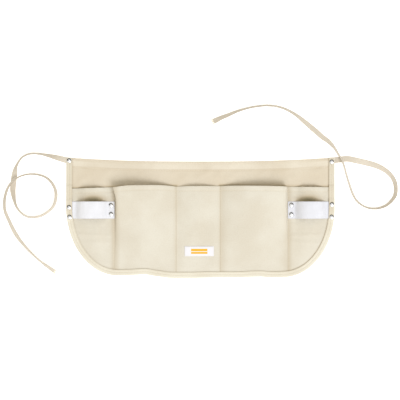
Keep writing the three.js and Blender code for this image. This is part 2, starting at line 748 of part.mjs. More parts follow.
// Ties: flat tape that lies on the surface and turns between flat and on edge
function tieGeometry(side, route) {
  const startX = side * (halfWidth + clearance);
  const startY = waistTop - tieDrop;
  const turns = route.map(({ face }) => Math.acos(face));
  const path = new THREE.CatmullRomCurve3(route.map(({ x, y, lift }, i) => {
    const stand = (tieWidth / 2) * Math.sin(turns[i]) + (tieThickness / 2) * Math.cos(turns[i]);
    return new THREE.Vector3(startX + x, startY + y, floorGap + stand + lift);
  }), false, 'centripetal');
  const rings = [];
  for (let i = 0; i <= tieSteps; i += 1) {
    const t = i / tieSteps;
    const at = t * (route.length - 1);
    const row = Math.min(route.length - 2, Math.floor(at));
    const turn = turns[row] + (turns[row + 1] - turns[row]) * (at - row);
    const centre = path.getPoint(t);
    const tangent = i === 0 ? new THREE.Vector3(side, 0, 0) : path.getTangent(t);
    const level = new THREE.Vector3(-tangent.y, tangent.x, 0).normalize();
    const up = new THREE.Vector3().crossVectors(tangent, level).normalize();
    const wide = level.clone().multiplyScalar(Math.cos(turn)).addScaledVector(up, Math.sin(turn));
    const thick = new THREE.Vector3().crossVectors(tangent, wide).normalize();
    const w = tieWidth / 2;
    const h = tieThickness / 2;
    rings.push([
      [w, -h / 2], [w, h / 2], [w - h, h], [h - w, h], [-w, h / 2], [-w, -h / 2], [h - w, -h], [w - h, -h],
    ].map(([a, b]) => centre.clone().addScaledVector(wide, a).addScaledVector(thick, b)));
  }
  return ringMesh(rings);
}

// Materials
const cloth = (color, roughness) => new THREE.MeshStandardMaterial({ color, roughness, metalness: 0 });
const canvasMaterial = cloth(0xe6dcc6, 0.92);
const bindingMaterial = cloth(0xe2d6bf, 0.9);
const webbingMaterial = cloth(0xf3f3f5, 0.85);
const labelMaterial = cloth(0xf6f6f4, 0.7);
const tieMaterial = cloth(0xe4dccb, 0.9);
const nickelMaterial = new THREE.MeshStandardMaterial({ color: 0xcfd2d4, roughness: 0.22, metalness: 1 });

const apron = new THREE.Group();
function add(name, geometry, material) {
  const mesh = new THREE.Mesh(geometry, material);
  mesh.name = name;
  apron.add(mesh);
}

add('body_panel', bodyGeometry(), canvasMaterial);
add('edge_binding', bindingGeometry(), bindingMaterial);
add('left_side_pocket', sidePocketGeometry(-1), canvasMaterial);
add('right_side_pocket', sidePocketGeometry(1), canvasMaterial);
const leftTool = toolPocketGeometry(-1, leftSeam, centreLeft, leftToolRise, leftToolLean, leftMouthBow);
const rightTool = toolPocketGeometry(1, rightSeam, centreRight, rightToolRise, rightToolLean, rightMouthBow);
add('left_tool_pocket', leftTool, canvasMaterial);
add('right_tool_pocket', rightTool, canvasMaterial);
add('centre_pocket', centrePocketGeometry(), canvasMaterial);
add('left_hammer_loop', loopGeometry(-1, leftLoopRise), webbingMaterial);
add('right_hammer_loop', loopGeometry(1, rightLoopRise), webbingMaterial);
add('label_patch', labelGeometry(), labelMaterial);
for (const rivet of rivets) add(rivet.name, rivetGeometry(rivet), nickelMaterial);
add('left_tie', tieGeometry(-1, leftRoute), tieMaterial);
add('right_tie', tieGeometry(1, rightRoute), tieMaterial);

export default apron;
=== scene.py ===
import math

import bpy
import numpy as np
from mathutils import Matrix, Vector


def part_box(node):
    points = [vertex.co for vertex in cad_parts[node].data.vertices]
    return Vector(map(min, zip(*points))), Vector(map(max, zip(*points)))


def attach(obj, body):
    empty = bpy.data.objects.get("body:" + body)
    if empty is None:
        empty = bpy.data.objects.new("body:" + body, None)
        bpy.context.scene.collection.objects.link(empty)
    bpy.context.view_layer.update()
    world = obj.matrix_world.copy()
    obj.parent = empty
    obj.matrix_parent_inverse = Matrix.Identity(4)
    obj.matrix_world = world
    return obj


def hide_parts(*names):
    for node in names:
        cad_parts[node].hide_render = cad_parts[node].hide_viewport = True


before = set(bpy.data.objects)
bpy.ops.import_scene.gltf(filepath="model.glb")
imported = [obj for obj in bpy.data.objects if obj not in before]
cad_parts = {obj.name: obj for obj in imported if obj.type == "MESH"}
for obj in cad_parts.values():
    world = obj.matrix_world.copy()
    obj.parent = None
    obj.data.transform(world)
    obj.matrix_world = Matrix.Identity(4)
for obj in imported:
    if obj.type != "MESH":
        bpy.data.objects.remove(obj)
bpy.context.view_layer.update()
mm = 0.001


# Curves and noise on whole arrays

def smoothStep(t):
    t = np.clip(t, 0, 1)  # 0 to 1 with flat ends: 3t^2 - 2t^3
    return t * t * (3 - 2 * t)


def fade(distance, width):
    return smoothStep(distance / width)  # 0 to 1 over this width


def hump(distance, width):
    return np.exp(-((distance / width) ** 2))  # bell: 1 at no distance, 0.37 at one width


# A cubic through a table's rows, whose first column is the place. The slope at a row is the harmonic mean of
# the chords beside it, so the curve never overshoots.
def curveThrough(table, at, column=1):
    places, values = np.array(table, float)[:, [0, column]].T
    step, chord = np.diff(places), np.diff(values) / np.diff(places)
    before, after = chord[:-1], chord[1:]
    same = before * after > 0
    inner = np.where(same, 2 * before * after / np.where(same, before + after, 1), 0)
    slope = np.concatenate([chord[:1], inner, chord[-1:]])
    at = np.clip(at, places[0], places[-1])
    i = np.clip(np.searchsorted(places, at, side="right") - 1, 0, len(step) - 1)
    t = (at - places[i]) / step[i]
    rise = values[i + 1] - values[i]
    bend = (1 - t) * slope[i] - t * slope[i + 1]
    return values[i] + rise * t * t * (3 - 2 * t) + step[i] * t * (1 - t) * bend


# The mean of plane waves with random headings and phases and lengths near size, about -1 to 1.
def softNoise(x, y, size, seed, waves=10):
    draw = np.random.default_rng(seed)
    total = np.zeros(np.broadcast(x, y).shape)
    for _ in range(waves):
        heading, phase = draw.uniform(0, 2 * np.pi, 2)
        length = size * draw.uniform(0.7, 1.6)
        total = total + np.sin(2 * np.pi * (x * np.cos(heading) + y * np.sin(heading)) / length + phase)
    return total / math.sqrt(waves)


# Soft noise in layers. A row is a height and a size in millimetres, and what x, y's slant and y are times.
def wrinkles(x, y, rows, seed):
    return sum(tall * mm * softNoise(x * wide + y * slant, y * long, size * mm, seed + k)
               for k, (tall, size, wide, slant, long) in enumerate(rows))


# One array of vectors from their coordinates.
def stacked(*parts):
    return np.stack(np.broadcast_arrays(*parts), -1)


# Meshes from arrays

def meshObject(name, points, faces, uv=None, marks=None, smooth=True):
    mesh = bpy.data.meshes.new(name)
    mesh.from_pydata(np.reshape(points, (-1, 3)).tolist(), [], faces)
    mesh.validate()
    if smooth:
        mesh.polygons.foreach_set("use_smooth", np.ones(len(mesh.polygons), bool))
    if uv is not None:
        corner = np.empty(len(mesh.loops), np.int32)
        mesh.loops.foreach_get("vertex_index", corner)
        mesh.uv_layers.new(name="cloth").data.foreach_set("uv", np.reshape(uv, (-1, 2))[corner].ravel())
    for mark, values in (marks or {}).items():
        layer = mesh.attributes.new(mark, "FLOAT", "POINT")
        layer.data.foreach_set("value", np.ravel(values).astype(np.float32))
    mesh.update()
    piece = bpy.data.objects.new(name, mesh)
    bpy.context.scene.collection.objects.link(piece)
    return piece


def unit(v):
    return v / np.maximum(np.linalg.norm(v, axis=-1, keepdims=True), 1e-12)


def gridNormals(points):
    across = np.gradient(points, axis=0)
    along = np.gradient(points, axis=1)
    return unit(np.cross(across, along))


# Quads of a grid of point numbers.
def gridQuads(a):
    return np.stack([a[:-1, :-1], a[1:, :-1], a[1:, 1:], a[:-1, 1:]], -1).reshape(-1, 4)


# A sheet with a front and a back half a thickness either side of its middle, and between them a rim that
# stands out by 0.4 of the thickness.
def clothSheet(name, middle, thickness, uv, marks):
    nu, nv = middle.shape[:2]
    normal = gridNormals(middle)
    front, back = middle + normal * thickness / 2, middle - normal * thickness / 2
    number = np.arange(nu * nv).reshape(nu, nv)
    border = np.concatenate([number[:-1, 0], number[-1, :-1], number[:0:-1, -1], number[0, :0:-1]])
    ring = middle.reshape(-1, 3)[border]
    heading = unit(np.roll(ring, -1, 0) - np.roll(ring, 1, 0))
    rim = ring + np.cross(heading, normal.reshape(-1, 3)[border]) * thickness * 0.4
    points = np.concatenate([front.reshape(-1, 3), back.reshape(-1, 3), rim])
    rimNumber = 2 * nu * nv + np.arange(len(border))
    nextBorder, nextRim = np.roll(border, -1), np.roll(rimNumber, -1)
    faces = np.concatenate([
        gridQuads(number),
        gridQuads(number)[:, ::-1] + nu * nv,
        np.stack([rimNumber, nextRim, nextBorder, border], -1),
        np.stack([border + nu * nv, nextBorder + nu * nv, nextRim, rimNumber], -1),
    ])

    def spread(values, size):
        values = np.asarray(values, float).reshape(-1, size)
        return np.concatenate([values, values, values[border]])

    marks = {mark: spread(values, 1) for mark, values in marks.items()}
    return meshObject(name, points, faces.tolist(), spread(uv, 2), marks)


# Closed rings joined in a row, with a flat face at each end.
def loftRings(name, rings, uv, marks=None):
    n, m = rings.shape[:2]
    number = np.arange(n * m).reshape(n, m)
    closed = np.concatenate([number, number[:, :1]], 1)
    faces = gridQuads(closed).tolist() + [number[0].tolist(), number[-1, ::-1].tolist()]
    piece = meshObject(name, rings, faces, uv, marks)
    fixOutward(piece)
    return piece


# Turns a closed mesh round if its volume comes out negative.
def fixOutward(piece):
    mesh = piece.data
    mesh.calc_loop_triangles()
    corner = np.empty(len(mesh.loop_triangles) * 3, np.int32)
    mesh.loop_triangles.foreach_get("vertices", corner)
    place = np.empty(len(mesh.vertices) * 3)
    mesh.vertices.foreach_get("co", place)
    a, b, c = place.reshape(-1, 3)[corner.reshape(-1, 3)].transpose(1, 0, 2)
    if np.einsum("ij,ij->", a, np.cross(b, c)) < 0:
        mesh.flip_normals()


# Length along a grid's lines: the running sum of their steps.
def lengthAlong(points, axis):
    step = np.linalg.norm(np.diff(points, axis=axis), axis=-1)
    start = np.zeros_like(np.take(step, [0], axis))
    return np.concatenate([start, np.cumsum(step, axis)], axis)


# Both lengths along a grid's surface, for its weave.
def lengthsOn(middle):
    return stacked(lengthAlong(middle, 0), lengthAlong(middle, 1))


def finishPiece(piece, finish, slot, *nodes):
    piece.data.materials.append(finishes[finish])
    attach(piece, "root")
    if nodes:
        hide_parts(*nodes)
    return piece


# The apron's layout, read from the frame

lowest = {node: np.array(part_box(node)[0]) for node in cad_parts}
highest = {node: np.array(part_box(node)[1]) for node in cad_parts}

layout = {
    "cornerWidth": 108 * mm,
    "cornerHeight": 143 * mm,
    "waistSag": 8.6 * mm,
    "waistCurve": 2.5,
    "hemWave": 7.5 * mm,
    "mouthHeight": 190.4 * mm,
    "canvas": 1.2 * mm,
    "tape": 1 * mm,
    "webbing": 1 * mm,
    "clearance": 0.3 * mm,
    "bindingWidth": 12.5 * mm,
    "foldFoot": 5 * mm,
    "seamAllowance": 4 * mm,
    "bowSquareness": 3,
    "hemTable": [
        (-1, 0.72), (-0.85, 0.81), (-0.68, 1), (-0.52, 0.49), (-0.34, 0.01), (-0.14, 0), (0.09, 0.125),
        (0.32, 0.12), (0.47, 0.135), (0.62, 0.33), (0.73, 0.38), (0.84, 0.18), (0.95, 0.18), (1, 0.26),
    ],
    "mouthTable": [
        (-1, -4), (-0.82, -2.4), (-0.64, -0.9), (-0.4, -0.6), (-0.18, 0.4), (-0.07, 1.7), (0.14, 1.6),
        (0.4, 0.9), (0.64, 0.3), (1, -0.7),
    ],
}  # the tables' rows are a share of the half width and a rise: a share of hemWave, or millimetres
halfWidth = highest["edge_binding"][0]
waistTop = highest["edge_binding"][1]
hemLow = lowest["edge_binding"][1]
mouthY = hemLow + layout["mouthHeight"]
bindingWidth, clearance = layout["bindingWidth"], layout["clearance"]
canvas, tape, webbing = layout["canvas"], layout["tape"], layout["webbing"]
centreLeft, centreRight = lowest["centre_pocket"][0], highest["centre_pocket"][0]
leftSeam = highest["left_side_pocket"][0] + clearance
rightSeam = lowest["right_side_pocket"][0] - clearance
cornerX = halfWidth - layout["cornerWidth"]
edgeInset = tape + clearance
bodyUnder = tape + clearance
bodyTop = bodyUnder + canvas
pocketMiddle = bodyTop + clearance + canvas / 2
pocketTop = pocketMiddle + canvas / 2
loopUnder = pocketTop + clearance


# The waist edge sags as 1 - share^2.5 between the corners.
def waistY(x):
    share = np.minimum(1, np.abs(x) / halfWidth)
    return waistTop - layout["waistSag"] * (1 - share ** layout["waistCurve"])


# The lowest edge wanders by the table's shares of hemWave.
def hemY(x):
    return hemLow + layout["hemWave"] * curveThrough(layout["hemTable"], x / cornerX)


# The pocket mouths' line at x: their level and the table's rise.
def mouthAt(x):
    return mouthY + mm * curveThrough(layout["mouthTable"], x / halfWidth)


# Level of a rounded corner's centre, on the side of x.
def cornerLevel(x):
    return hemY(np.sign(x) * cornerX) + layout["cornerHeight"]


# The bottom edge at x, this far inside the outline: the wavy hem, or a quarter ellipse at a corner.
def bottomY(x, inset):
    beyond = np.abs(x) - cornerX
    share = np.clip(beyond / (layout["cornerWidth"] - inset), 0, 1)
    corner = cornerLevel(x) - (layout["cornerHeight"] - inset) * np.sqrt(1 - share ** 2)
    return np.where(beyond <= 0, hemY(x) + inset, corner)


# Distance to the left, right or bottom edge, for an ellipse the radius left over, over its gradient.
def edgeDistance(x, y):
    beyond = np.abs(x) - cornerX
    across, down = beyond / layout["cornerWidth"], (cornerLevel(x) - y) / layout["cornerHeight"]
    radius = np.maximum(np.hypot(across, down), 1e-6)
    steep = np.hypot(across / layout["cornerWidth"], down / layout["cornerHeight"])
    corner = (1 - radius) * radius / np.maximum(steep, 1e-6)
    side = halfWidth - np.abs(x)
    return np.where(beyond <= 0, np.minimum(side, y - hemY(x)), np.where(down <= 0, side, corner))


# Camera first, straight above the apron as in the photograph

view = {
    "middle": (-1 * mm, 37.2 * mm),
    "width": 835 * mm,
    "height": 2.5,
    "sensor": 36.0,
}
camera = bpy.data.objects.new("camera", bpy.data.cameras.new("camera"))
bpy.context.scene.collection.objects.link(camera)
camera.data.sensor_width = view["sensor"]
camera.data.lens = view["sensor"] * view["height"] / view["width"]
camera.location = (view["middle"][0], view["middle"][1], view["height"])
bpy.context.scene.camera = camera
print("camera placed")


# Shader groups shared by the cloths

def newGroup(name, inputs, outputs):
    group = bpy.data.node_groups.new(name, "ShaderNodeTree")
    for title, kind, value in inputs:
        socket = group.interface.new_socket(title, in_out="INPUT", socket_type=kind)
        if value is not None:
            socket.default_value = value
    for title, kind in outputs:
        group.interface.new_socket(title, in_out="OUTPUT", socket_type=kind)
    return group, group.nodes.new("NodeGroupInput"), group.nodes.new("NodeGroupOutput")


def wire(tree, value, socket):
    if isinstance(value, bpy.types.NodeSocket):
        tree.links.new(value, socket)
    else:
        socket.default_value = value


def mathNode(tree, operation, a, b=0.0, clamp=False):
    node = tree.nodes.new("ShaderNodeMath")
    node.operation, node.use_clamp = operation, clamp
    wire(tree, a, node.inputs[0])
    wire(tree, b, node.inputs[1])
    return node.outputs[0]


def times(tree, a, b, clamp=False):
    return mathNode(tree, "MULTIPLY", a, b, clamp)


def plus(tree, a, b):
    return mathNode(tree, "ADD", a, b)


def minus(tree, a, b, clamp=False):
    return mathNode(tree, "SUBTRACT", a, b, clamp)


# The sine's size at this many half turns.
def ridges(tree, halfTurns):
    return mathNode(tree, "ABSOLUTE", mathNode(tree, "SINE", times(tree, halfTurns, math.pi)))


def axes(tree, vector):
    apart = tree.nodes.new("ShaderNodeSeparateXYZ")
    tree.links.new(vector, apart.inputs[0])
    return apart.outputs[:3]


def objectPlace(tree):
    return tree.nodes.new("ShaderNodeTexCoord").outputs["Object"]


def noise(tree, vector, scale, detail=2.0, stretch=None):
    if stretch:
        mapping = tree.nodes.new("ShaderNodeMapping")
        tree.links.new(vector, mapping.inputs["Vector"])
        mapping.inputs["Scale"].default_value = stretch
        vector = mapping.outputs[0]
    node = tree.nodes.new("ShaderNodeTexNoise")
    tree.links.new(vector, node.inputs["Vector"])
    node.inputs["Scale"].default_value = scale
    node.inputs["Detail"].default_value = detail
    return node.outputs["Fac"]


def ramp(tree, value, low, high):
    node = tree.nodes.new("ShaderNodeMapRange")
    node.interpolation_type = "SMOOTHSTEP"
    tree.links.new(value, node.inputs["Value"])
    node.inputs["From Min"].default_value, node.inputs["From Max"].default_value = low, high
    return node.outputs["Result"]


def mixColour(tree, factor, a, b):
    node = tree.nodes.new("ShaderNodeMix")
    node.data_type = "RGBA"
    wire(tree, factor, node.inputs[0])
    wire(tree, a, node.inputs[6])
    wire(tree, b, node.inputs[7])
    return node.outputs[2]


def addBump(tree, shader, height, distance, strength=1.0):
    bump = tree.nodes.new("ShaderNodeBump")
    bump.inputs["Distance"].default_value = distance
    bump.inputs["Strength"].default_value = strength
    tree.links.new(height, bump.inputs["Height"])
    tree.links.new(bump.outputs["Normal"], shader.inputs["Normal"])


# Plain weave: each thread is a rounded ridge, and a checker of squares says which way runs on top.
def plainWeaveGroup():
    tree, given, result = newGroup("plainWeave", [
        ("Cloth", "NodeSocketVector", None), ("Threads", "NodeSocketFloat", 1400.0),
    ], [("Height", "NodeSocketFloat")])
    cloth, threads = given.outputs[:2]
    wobble = times(tree, noise(tree, cloth, 300), 1.2)
    along = [plus(tree, times(tree, axis, threads), wobble) for axis in axes(tree, cloth)[:2]]
    cell = [mathNode(tree, "FLOOR", a) for a in along]
    check = mathNode(tree, "ABSOLUTE", mathNode(tree, "MODULO", plus(tree, *cell), 2.0))
    lower = times(tree, check, 0.45)
    over = times(tree, ridges(tree, along[0]), plus(tree, 0.55, lower))
    under = times(tree, ridges(tree, along[1]), minus(tree, 1.0, lower))
    tree.links.new(mathNode(tree, "MAXIMUM", over, under), result.inputs["Height"])
    return tree


# Ribs: a wave along the first axis for each cord of the weave, broken into picks along the second.
def ribGroup():
    tree, given, result = newGroup("ribbedWeave", [
        ("Cloth", "NodeSocketVector", None), ("Ribs", "NodeSocketFloat", 700.0),
        ("Picks", "NodeSocketFloat", 1800.0), ("Slant", "NodeSocketFloat", 0.0),
    ], [("Height", "NodeSocketFloat")])
    cloth, ribs, picks, slant = given.outputs[:4]
    across, along = axes(tree, cloth)[:2]
    leaning = plus(tree, across, times(tree, along, slant))
    pick = mathNode(tree, "SINE", times(tree, times(tree, along, picks), 2 * math.pi))
    height = plus(tree, ridges(tree, times(tree, leaning, ribs)), times(tree, pick, 0.15))
    tree.links.new(height, result.inputs["Height"])
    return tree


# Undyed cotton: broad mottling, slubs along both threads and dark seed flecks, then painted shade from the
# shade mark: a warm darker tint, turning to a painted shadow colour where the mark is deeper than 1.
def clothToneGroup():
    tree, given, result = newGroup("clothTone", [
        ("Place", "NodeSocketVector", None), ("Cloth", "NodeSocketVector", None),
        ("Colour", "NodeSocketColor", None), ("Deep", "NodeSocketColor", None),
        ("Hollow", "NodeSocketFloat", 0.0), ("Mottle", "NodeSocketFloat", 0.3),
        ("Flecks", "NodeSocketFloat", 0.5),
    ], [("Colour", "NodeSocketColor")])
    place, cloth, colour, deep, hollow, mottle, flecks = given.outputs[:7]
    broad = ramp(tree, noise(tree, place, 14, 3), 0.32, 0.7)
    slubs = [ramp(tree, noise(tree, cloth, 60, 2, stretch), 0.58, 0.8)
             for stretch in ((1, 14, 1), (14, 1, 1))]
    fleck = ramp(tree, noise(tree, cloth, 900, 1), 0.76, 0.84)
    fine = ramp(tree, noise(tree, cloth, 420, 2), 0.3, 0.72)
    mask = plus(tree, times(tree, broad, 0.55), times(tree, mathNode(tree, "MAXIMUM", *slubs), 0.3))
    mask = plus(tree, mask, times(tree, fine, 0.3))
    mottled = mixColour(tree, times(tree, mask, mottle, True), colour, deep)
    # Painted shade: a warm darker tint up to 1, then a painted shadow colour beyond it.
    paintedShadeTint = mixColour(tree, times(tree, hollow, 0.75, True), mottled, deep)
    shaded = mixColour(tree, minus(tree, hollow, 1.0, True), paintedShadeTint, (0.30, 0.255, 0.16, 1))
    speck = mixColour(tree, times(tree, fleck, flecks, True), shaded, (0.36, 0.25, 0.13, 1))
    tree.links.new(speck, result.inputs["Colour"])
    return tree


weaves = {"plain": plainWeaveGroup(), "rib": ribGroup()}
toneGroup = clothToneGroup()


def placeGroup(tree, group, **values):
    node = tree.nodes.new("ShaderNodeGroup")
    node.node_tree = group
    for title, value in values.items():
        wire(tree, value, node.inputs[title])
    return node


def newMaterial(name, roughness, sheen=0.0, metallic=0.0):
    material = bpy.data.materials.new(name)
    material.use_nodes = True
    shader = material.node_tree.nodes["Principled BSDF"]
    shader.inputs["Roughness"].default_value = roughness
    shader.inputs["Sheen Weight"].default_value = sheen
    shader.inputs["Sheen Roughness"].default_value = 0.6
    shader.inputs["Metallic"].default_value = metallic
    shader.inputs["Specular IOR Level"].default_value = 0.5 if metallic else 0.2
    return material, material.node_tree, shader


def clothMaterial(name, colour, deep, weave="plain", threads=1250.0, slant=0.0, depth=0.12 * mm, mottle=0.42,
                  flecks=0.5):
    material, tree, shader = newMaterial(name, roughness=0.92, sheen=0.25)
    uvMap = tree.nodes.new("ShaderNodeUVMap")
    uvMap.uv_map = "cloth"
    cloth = uvMap.outputs[0]
    # The painted shade mark that each piece carries.
    hollow = tree.nodes.new("ShaderNodeAttribute")
    hollow.attribute_name = "hollow"
    tone = placeGroup(tree, toneGroup, Place=objectPlace(tree), Cloth=cloth, Colour=colour, Deep=deep,
                      Hollow=hollow.outputs["Fac"], Mottle=mottle, Flecks=flecks)
    tree.links.new(tone.outputs["Colour"], shader.inputs["Base Color"])
    if weave == "plain":
        woven = placeGroup(tree, weaves[weave], Cloth=cloth, Threads=threads)
    else:
        woven = placeGroup(tree, weaves[weave], Cloth=cloth, Ribs=threads, Picks=threads * 2.5, Slant=slant)
    rough = times(tree, noise(tree, cloth, 240, 3), 1.4)
    addBump(tree, shader, plus(tree, woven.outputs["Height"], rough), depth, 0.9)
    return material


finishes = {
    "canvas": clothMaterial("canvasCloth", (0.705, 0.675, 0.588, 1), (0.50, 0.42, 0.295, 1)),
    "upper": clothMaterial("canvasBody", (0.755, 0.70, 0.59, 1), (0.52, 0.425, 0.29, 1)),
    "binding": clothMaterial("bindingTape", (0.775, 0.745, 0.64, 1), (0.50, 0.42, 0.30, 1), "rib", 1100.0,
                             1.0, depth=0.08 * mm, flecks=0.1),
    "webbing": clothMaterial("whiteWebbing", (0.82, 0.835, 0.885, 1), (0.58, 0.59, 0.67, 1), "rib", 560.0,
                             depth=0.3 * mm, mottle=0.2, flecks=0.0),
    "label": clothMaterial("labelWeave", (0.79, 0.79, 0.835, 1), (0.66, 0.66, 0.70, 1), threads=2600.0,
                           depth=0.05 * mm, mottle=0.12, flecks=0.0),
    "tie": clothMaterial("tieTwill", (0.72, 0.665, 0.57, 1), (0.42, 0.355, 0.27, 1), "rib", 900.0, 1.0,
                         depth=0.1 * mm, flecks=0.15),
    "thread": clothMaterial("sewingThread", (0.82, 0.76, 0.63, 1), (0.62, 0.52, 0.36, 1), "rib", 3000.0, 0.8,
                            depth=0.04 * mm, flecks=0.0),
}


# Bright plating, a little duller and rougher in worn specks.
def nickelMaterial():
    material, tree, shader = newMaterial("nickelPlate", roughness=0.16, metallic=1.0)
    place = objectPlace(tree)
    wear = ramp(tree, noise(tree, place, 900, 4), 0.45, 0.75)
    colour = mixColour(tree, wear, (0.86, 0.86, 0.85, 1), (0.70, 0.68, 0.64, 1))
    tree.links.new(colour, shader.inputs["Base Color"])
    tree.links.new(plus(tree, 0.12, times(tree, wear, 0.18)), shader.inputs["Roughness"])
    addBump(tree, shader, noise(tree, place, 2500, 2), 0.03 * mm)
    return material


finishes["nickel"] = nickelMaterial()
print("materials made")


# Ties: twisted flat tape that lies on the surface

ties = {
    "width": 12 * mm,
    "thickness": 1 * mm,
    "drop": 6 * mm,
    "gap": 0.3 * mm,
    "floorGap": 0.1 * mm,
    "steps": 520,
    "frayLength": 7 * mm,
    "frayStrands": 46,
    "around": 24,
    "squareness": (0.28, 0.6),
    "shades": {"edge": 0.6, "flat": 0.15, "turned": 0.42},
    "left": [
        (0, 0, 1, 1.5), (-12, 3.5, 0.94, 0.8), (-23, 6.5, 0.82, 0.2), (-33, 9, 0.64, 0),
        (-49, 12.5, 0.38, 0), (-64, 14, 0.32, 0), (-79, 12.5, 0.34, 0), (-91, 6, 0.38, 0),
        (-99, -4, 0.42, 0), (-104, -14, 0.6, 0), (-106.5, -24, 0.9, 0), (-108.5, -35, 1, 0),
        (-110, -48, 1, 0), (-111, -61, 0.985, 0), (-109.5, -73, 0.86, 0), (-107, -85, 0.62, 0),
        (-102.5, -98, 0.48, 0), (-93.5, -109.5, 0.42, 0), (-81, -117.5, 0.38, 0), (-67, -119, 0.36, 0),
        (-52, -116, 0.34, 0), (-38, -108, 0.34, 0), (-26.5, -97, 0.36, 0), (-21, -81, 0.4, 0),
        (-21, -65, 0.4, 0), (-28, -48.5, 0.34, 0), (-41, -36, 0.3, 0), (-58, -30, 0.28, 0),
        (-76, -29, 0.28, 0.4), (-92.5, -32.5, 0.3, 2.2), (-105, -39.5, 0.36, 2.8), (-117, -51, 0.48, 2.2),
        (-124.5, -67, 0.56, 0.8), (-128, -84, 0.6, 0), (-127, -105, 0.62, 0), (-119, -125, 0.68, 0),
        (-104, -155, 0.76, 0), (-83.5, -181.5, 0.54, 0), (-54.5, -209.5, 0.4, 0), (-25, -231, 0.72, 0),
    ],
    "right": [
        (0, 0, 1, 1.5), (11, 1.5, 1, 0.6), (26, 3, 1, 0), (42, 0, 0.98, 0), (59.5, -4, 0.97, 0),
        (77, -8.5, 0.94, 0), (93, -14.5, 0.82, 0), (108, -23.5, 0.7, 0), (119, -35, 0.62, 0),
        (125, -48, 0.6, 0), (126.5, -62, 0.56, 0), (124.5, -74, 0.52, 0), (116, -86, 0.44, 0),
        (104.5, -95, 0.38, 0), (89, -100, 0.34, 0), (73, -100, 0.32, 0), (57.5, -94.5, 0.34, 0),
        (45, -84, 0.42, 0), (37.5, -71, 0.46, 0), (31, -53, 0.44, 0), (25, -34, 0.4, 0.5),
        (19.5, -14, 0.38, 1.8), (14, 1, 0.38, 2.5), (6.5, 13, 0.42, 2), (-1, 25.5, 0.54, 0.6),
        (-12, 38, 0.8, 0), (-26, 48.5, 0.9, 0), (-42, 62.5, 0.94, 0), (-60.5, 78, 0.86, 0),
        (-76.5, 91, 0.66, 0), (-95.5, 103, 0.5, 0), (-116, 111, 0.42, 0), (-139, 114, 0.38, 0),
        (-161, 112.5, 0.36, 0), (-184.5, 108, 0.38, 0), (-205.5, 101.5, 0.5, 0), (-223.5, 94, 0.66, 0),
        (-238.5, 88, 0.78, 0), (-252, 81.5, 0.94, 0),
    ],
}  # rows are x, y, the share of the width seen from above, and lift, in millimetres from the corner


# A curve through the points whose parts take the square root of each gap as their time (Barry and Goldman).
def centripetal(points, steps):
    ends = np.concatenate([[2 * points[0] - points[1]], points, [2 * points[-1] - points[-2]]])
    gap = np.sqrt(np.linalg.norm(np.diff(ends, axis=0), axis=1))
    time = np.concatenate([[0], np.cumsum(gap)])
    share = np.linspace(0, len(points) - 1, steps + 1)
    i = np.minimum(share.astype(int), len(points) - 2)
    local = (share - i)[:, None]
    t0, t1, t2, t3 = (time[i + k][:, None] for k in range(4))
    p0, p1, p2, p3 = (ends[i + k] for k in range(4))
    t = t1 + (t2 - t1) * local
    mix = lambda a, b, ta, tb: (a * (tb - t) + b * (t - ta)) / (tb - ta)
    a1, a2, a3 = mix(p0, p1, t0, t1), mix(p1, p2, t1, t2), mix(p2, p3, t2, t3)
    b1, b2 = mix(a1, a2, t0, t2), mix(a2, a3, t1, t3)
    return mix(b1, b2, t1, t2), share


# A superellipse with flat faces and rounded selvedges, swept along the route. The share of the width that is
# seen from above is the cosine of the tape's turn, and half its turned height holds it off the floor.
def makeTie(name, side, rows):
    rows = np.array(rows, float)
    turns = np.arccos(rows[:, 2])
    stand = ties["width"] / 2 * np.sin(turns) + ties["thickness"] / 2 * np.cos(turns)
    start = np.array([side * (halfWidth + ties["gap"]), waistTop - ties["drop"]])
    points = np.column_stack([start + rows[:, :2] * mm, ties["floorGap"] + stand + rows[:, 3] * mm])
    centre, share = centripetal(points, ties["steps"])
    turn = np.interp(share, np.arange(len(rows)), turns)
    heading = unit(np.gradient(centre, axis=0))
    heading[0] = (side, 0, 0)
    level = unit(np.column_stack([-heading[:, 1], heading[:, 0], np.zeros(len(centre))]))
    up = unit(np.cross(heading, level))
    wide = level * np.cos(turn)[:, None] + up * np.sin(turn)[:, None]
    thick = unit(np.cross(heading, wide))
    around = np.linspace(0, 2 * np.pi, ties["around"], endpoint=False)
    squared = lambda wave, power, size: np.sign(wave) * np.abs(wave) ** power * size / 2
    a = squared(np.cos(around), ties["squareness"][0], ties["width"])
    b = squared(np.sin(around), ties["squareness"][1], ties["thickness"])
    rings = centre[:, None] + wide[:, None] * a[:, None] + thick[:, None] * b[:, None]
    run = lengthAlong(centre, 0)
    uv = stacked(run[:, None], a)
    edges = fade(np.abs(a) / (ties["width"] / 2) - 0.8, 0.2)
    # Painted shade: darker selvedges, a little all over, and more where the tape turns up on its edge.
    shades = ties["shades"]
    hollow = shades["edge"] * edges + shades["flat"] + shades["turned"] * (np.sin(turn) ** 2)[:, None]
    piece = loftRings(name, rings, uv, {"hollow": hollow})
    finishPiece(piece, "tie", "tie_tape", name.replace("Tie", "_tie"))
    fray = makeFray(name + "Fray", centre[-1], heading[-1], wide[-1], thick[-1])
    print(name, "length", round(float(run[-1]), 4))


# Closed tubes of thread, one for each block of rings.
def threadMesh(name, points, uv, slot):
    number = np.arange(points[..., 0].size).reshape(points.shape[:3])
    closed = np.concatenate([number, number[..., :1]], 2)
    quads = np.stack([closed[:, :-1, :-1], closed[:, 1:, :-1], closed[:, 1:, 1:], closed[:, :-1, 1:]], -1)
    faces = quads.reshape(-1, 4).tolist() + number[:, 0].tolist() + number[:, -1, ::-1].tolist()
    piece = meshObject(name, points, faces, np.broadcast_to(uv, points.shape[:3] + (2,)),
                       {"hollow": np.zeros(points.shape[:3])})
    fixOutward(piece)
    return finishPiece(piece, "thread", slot)


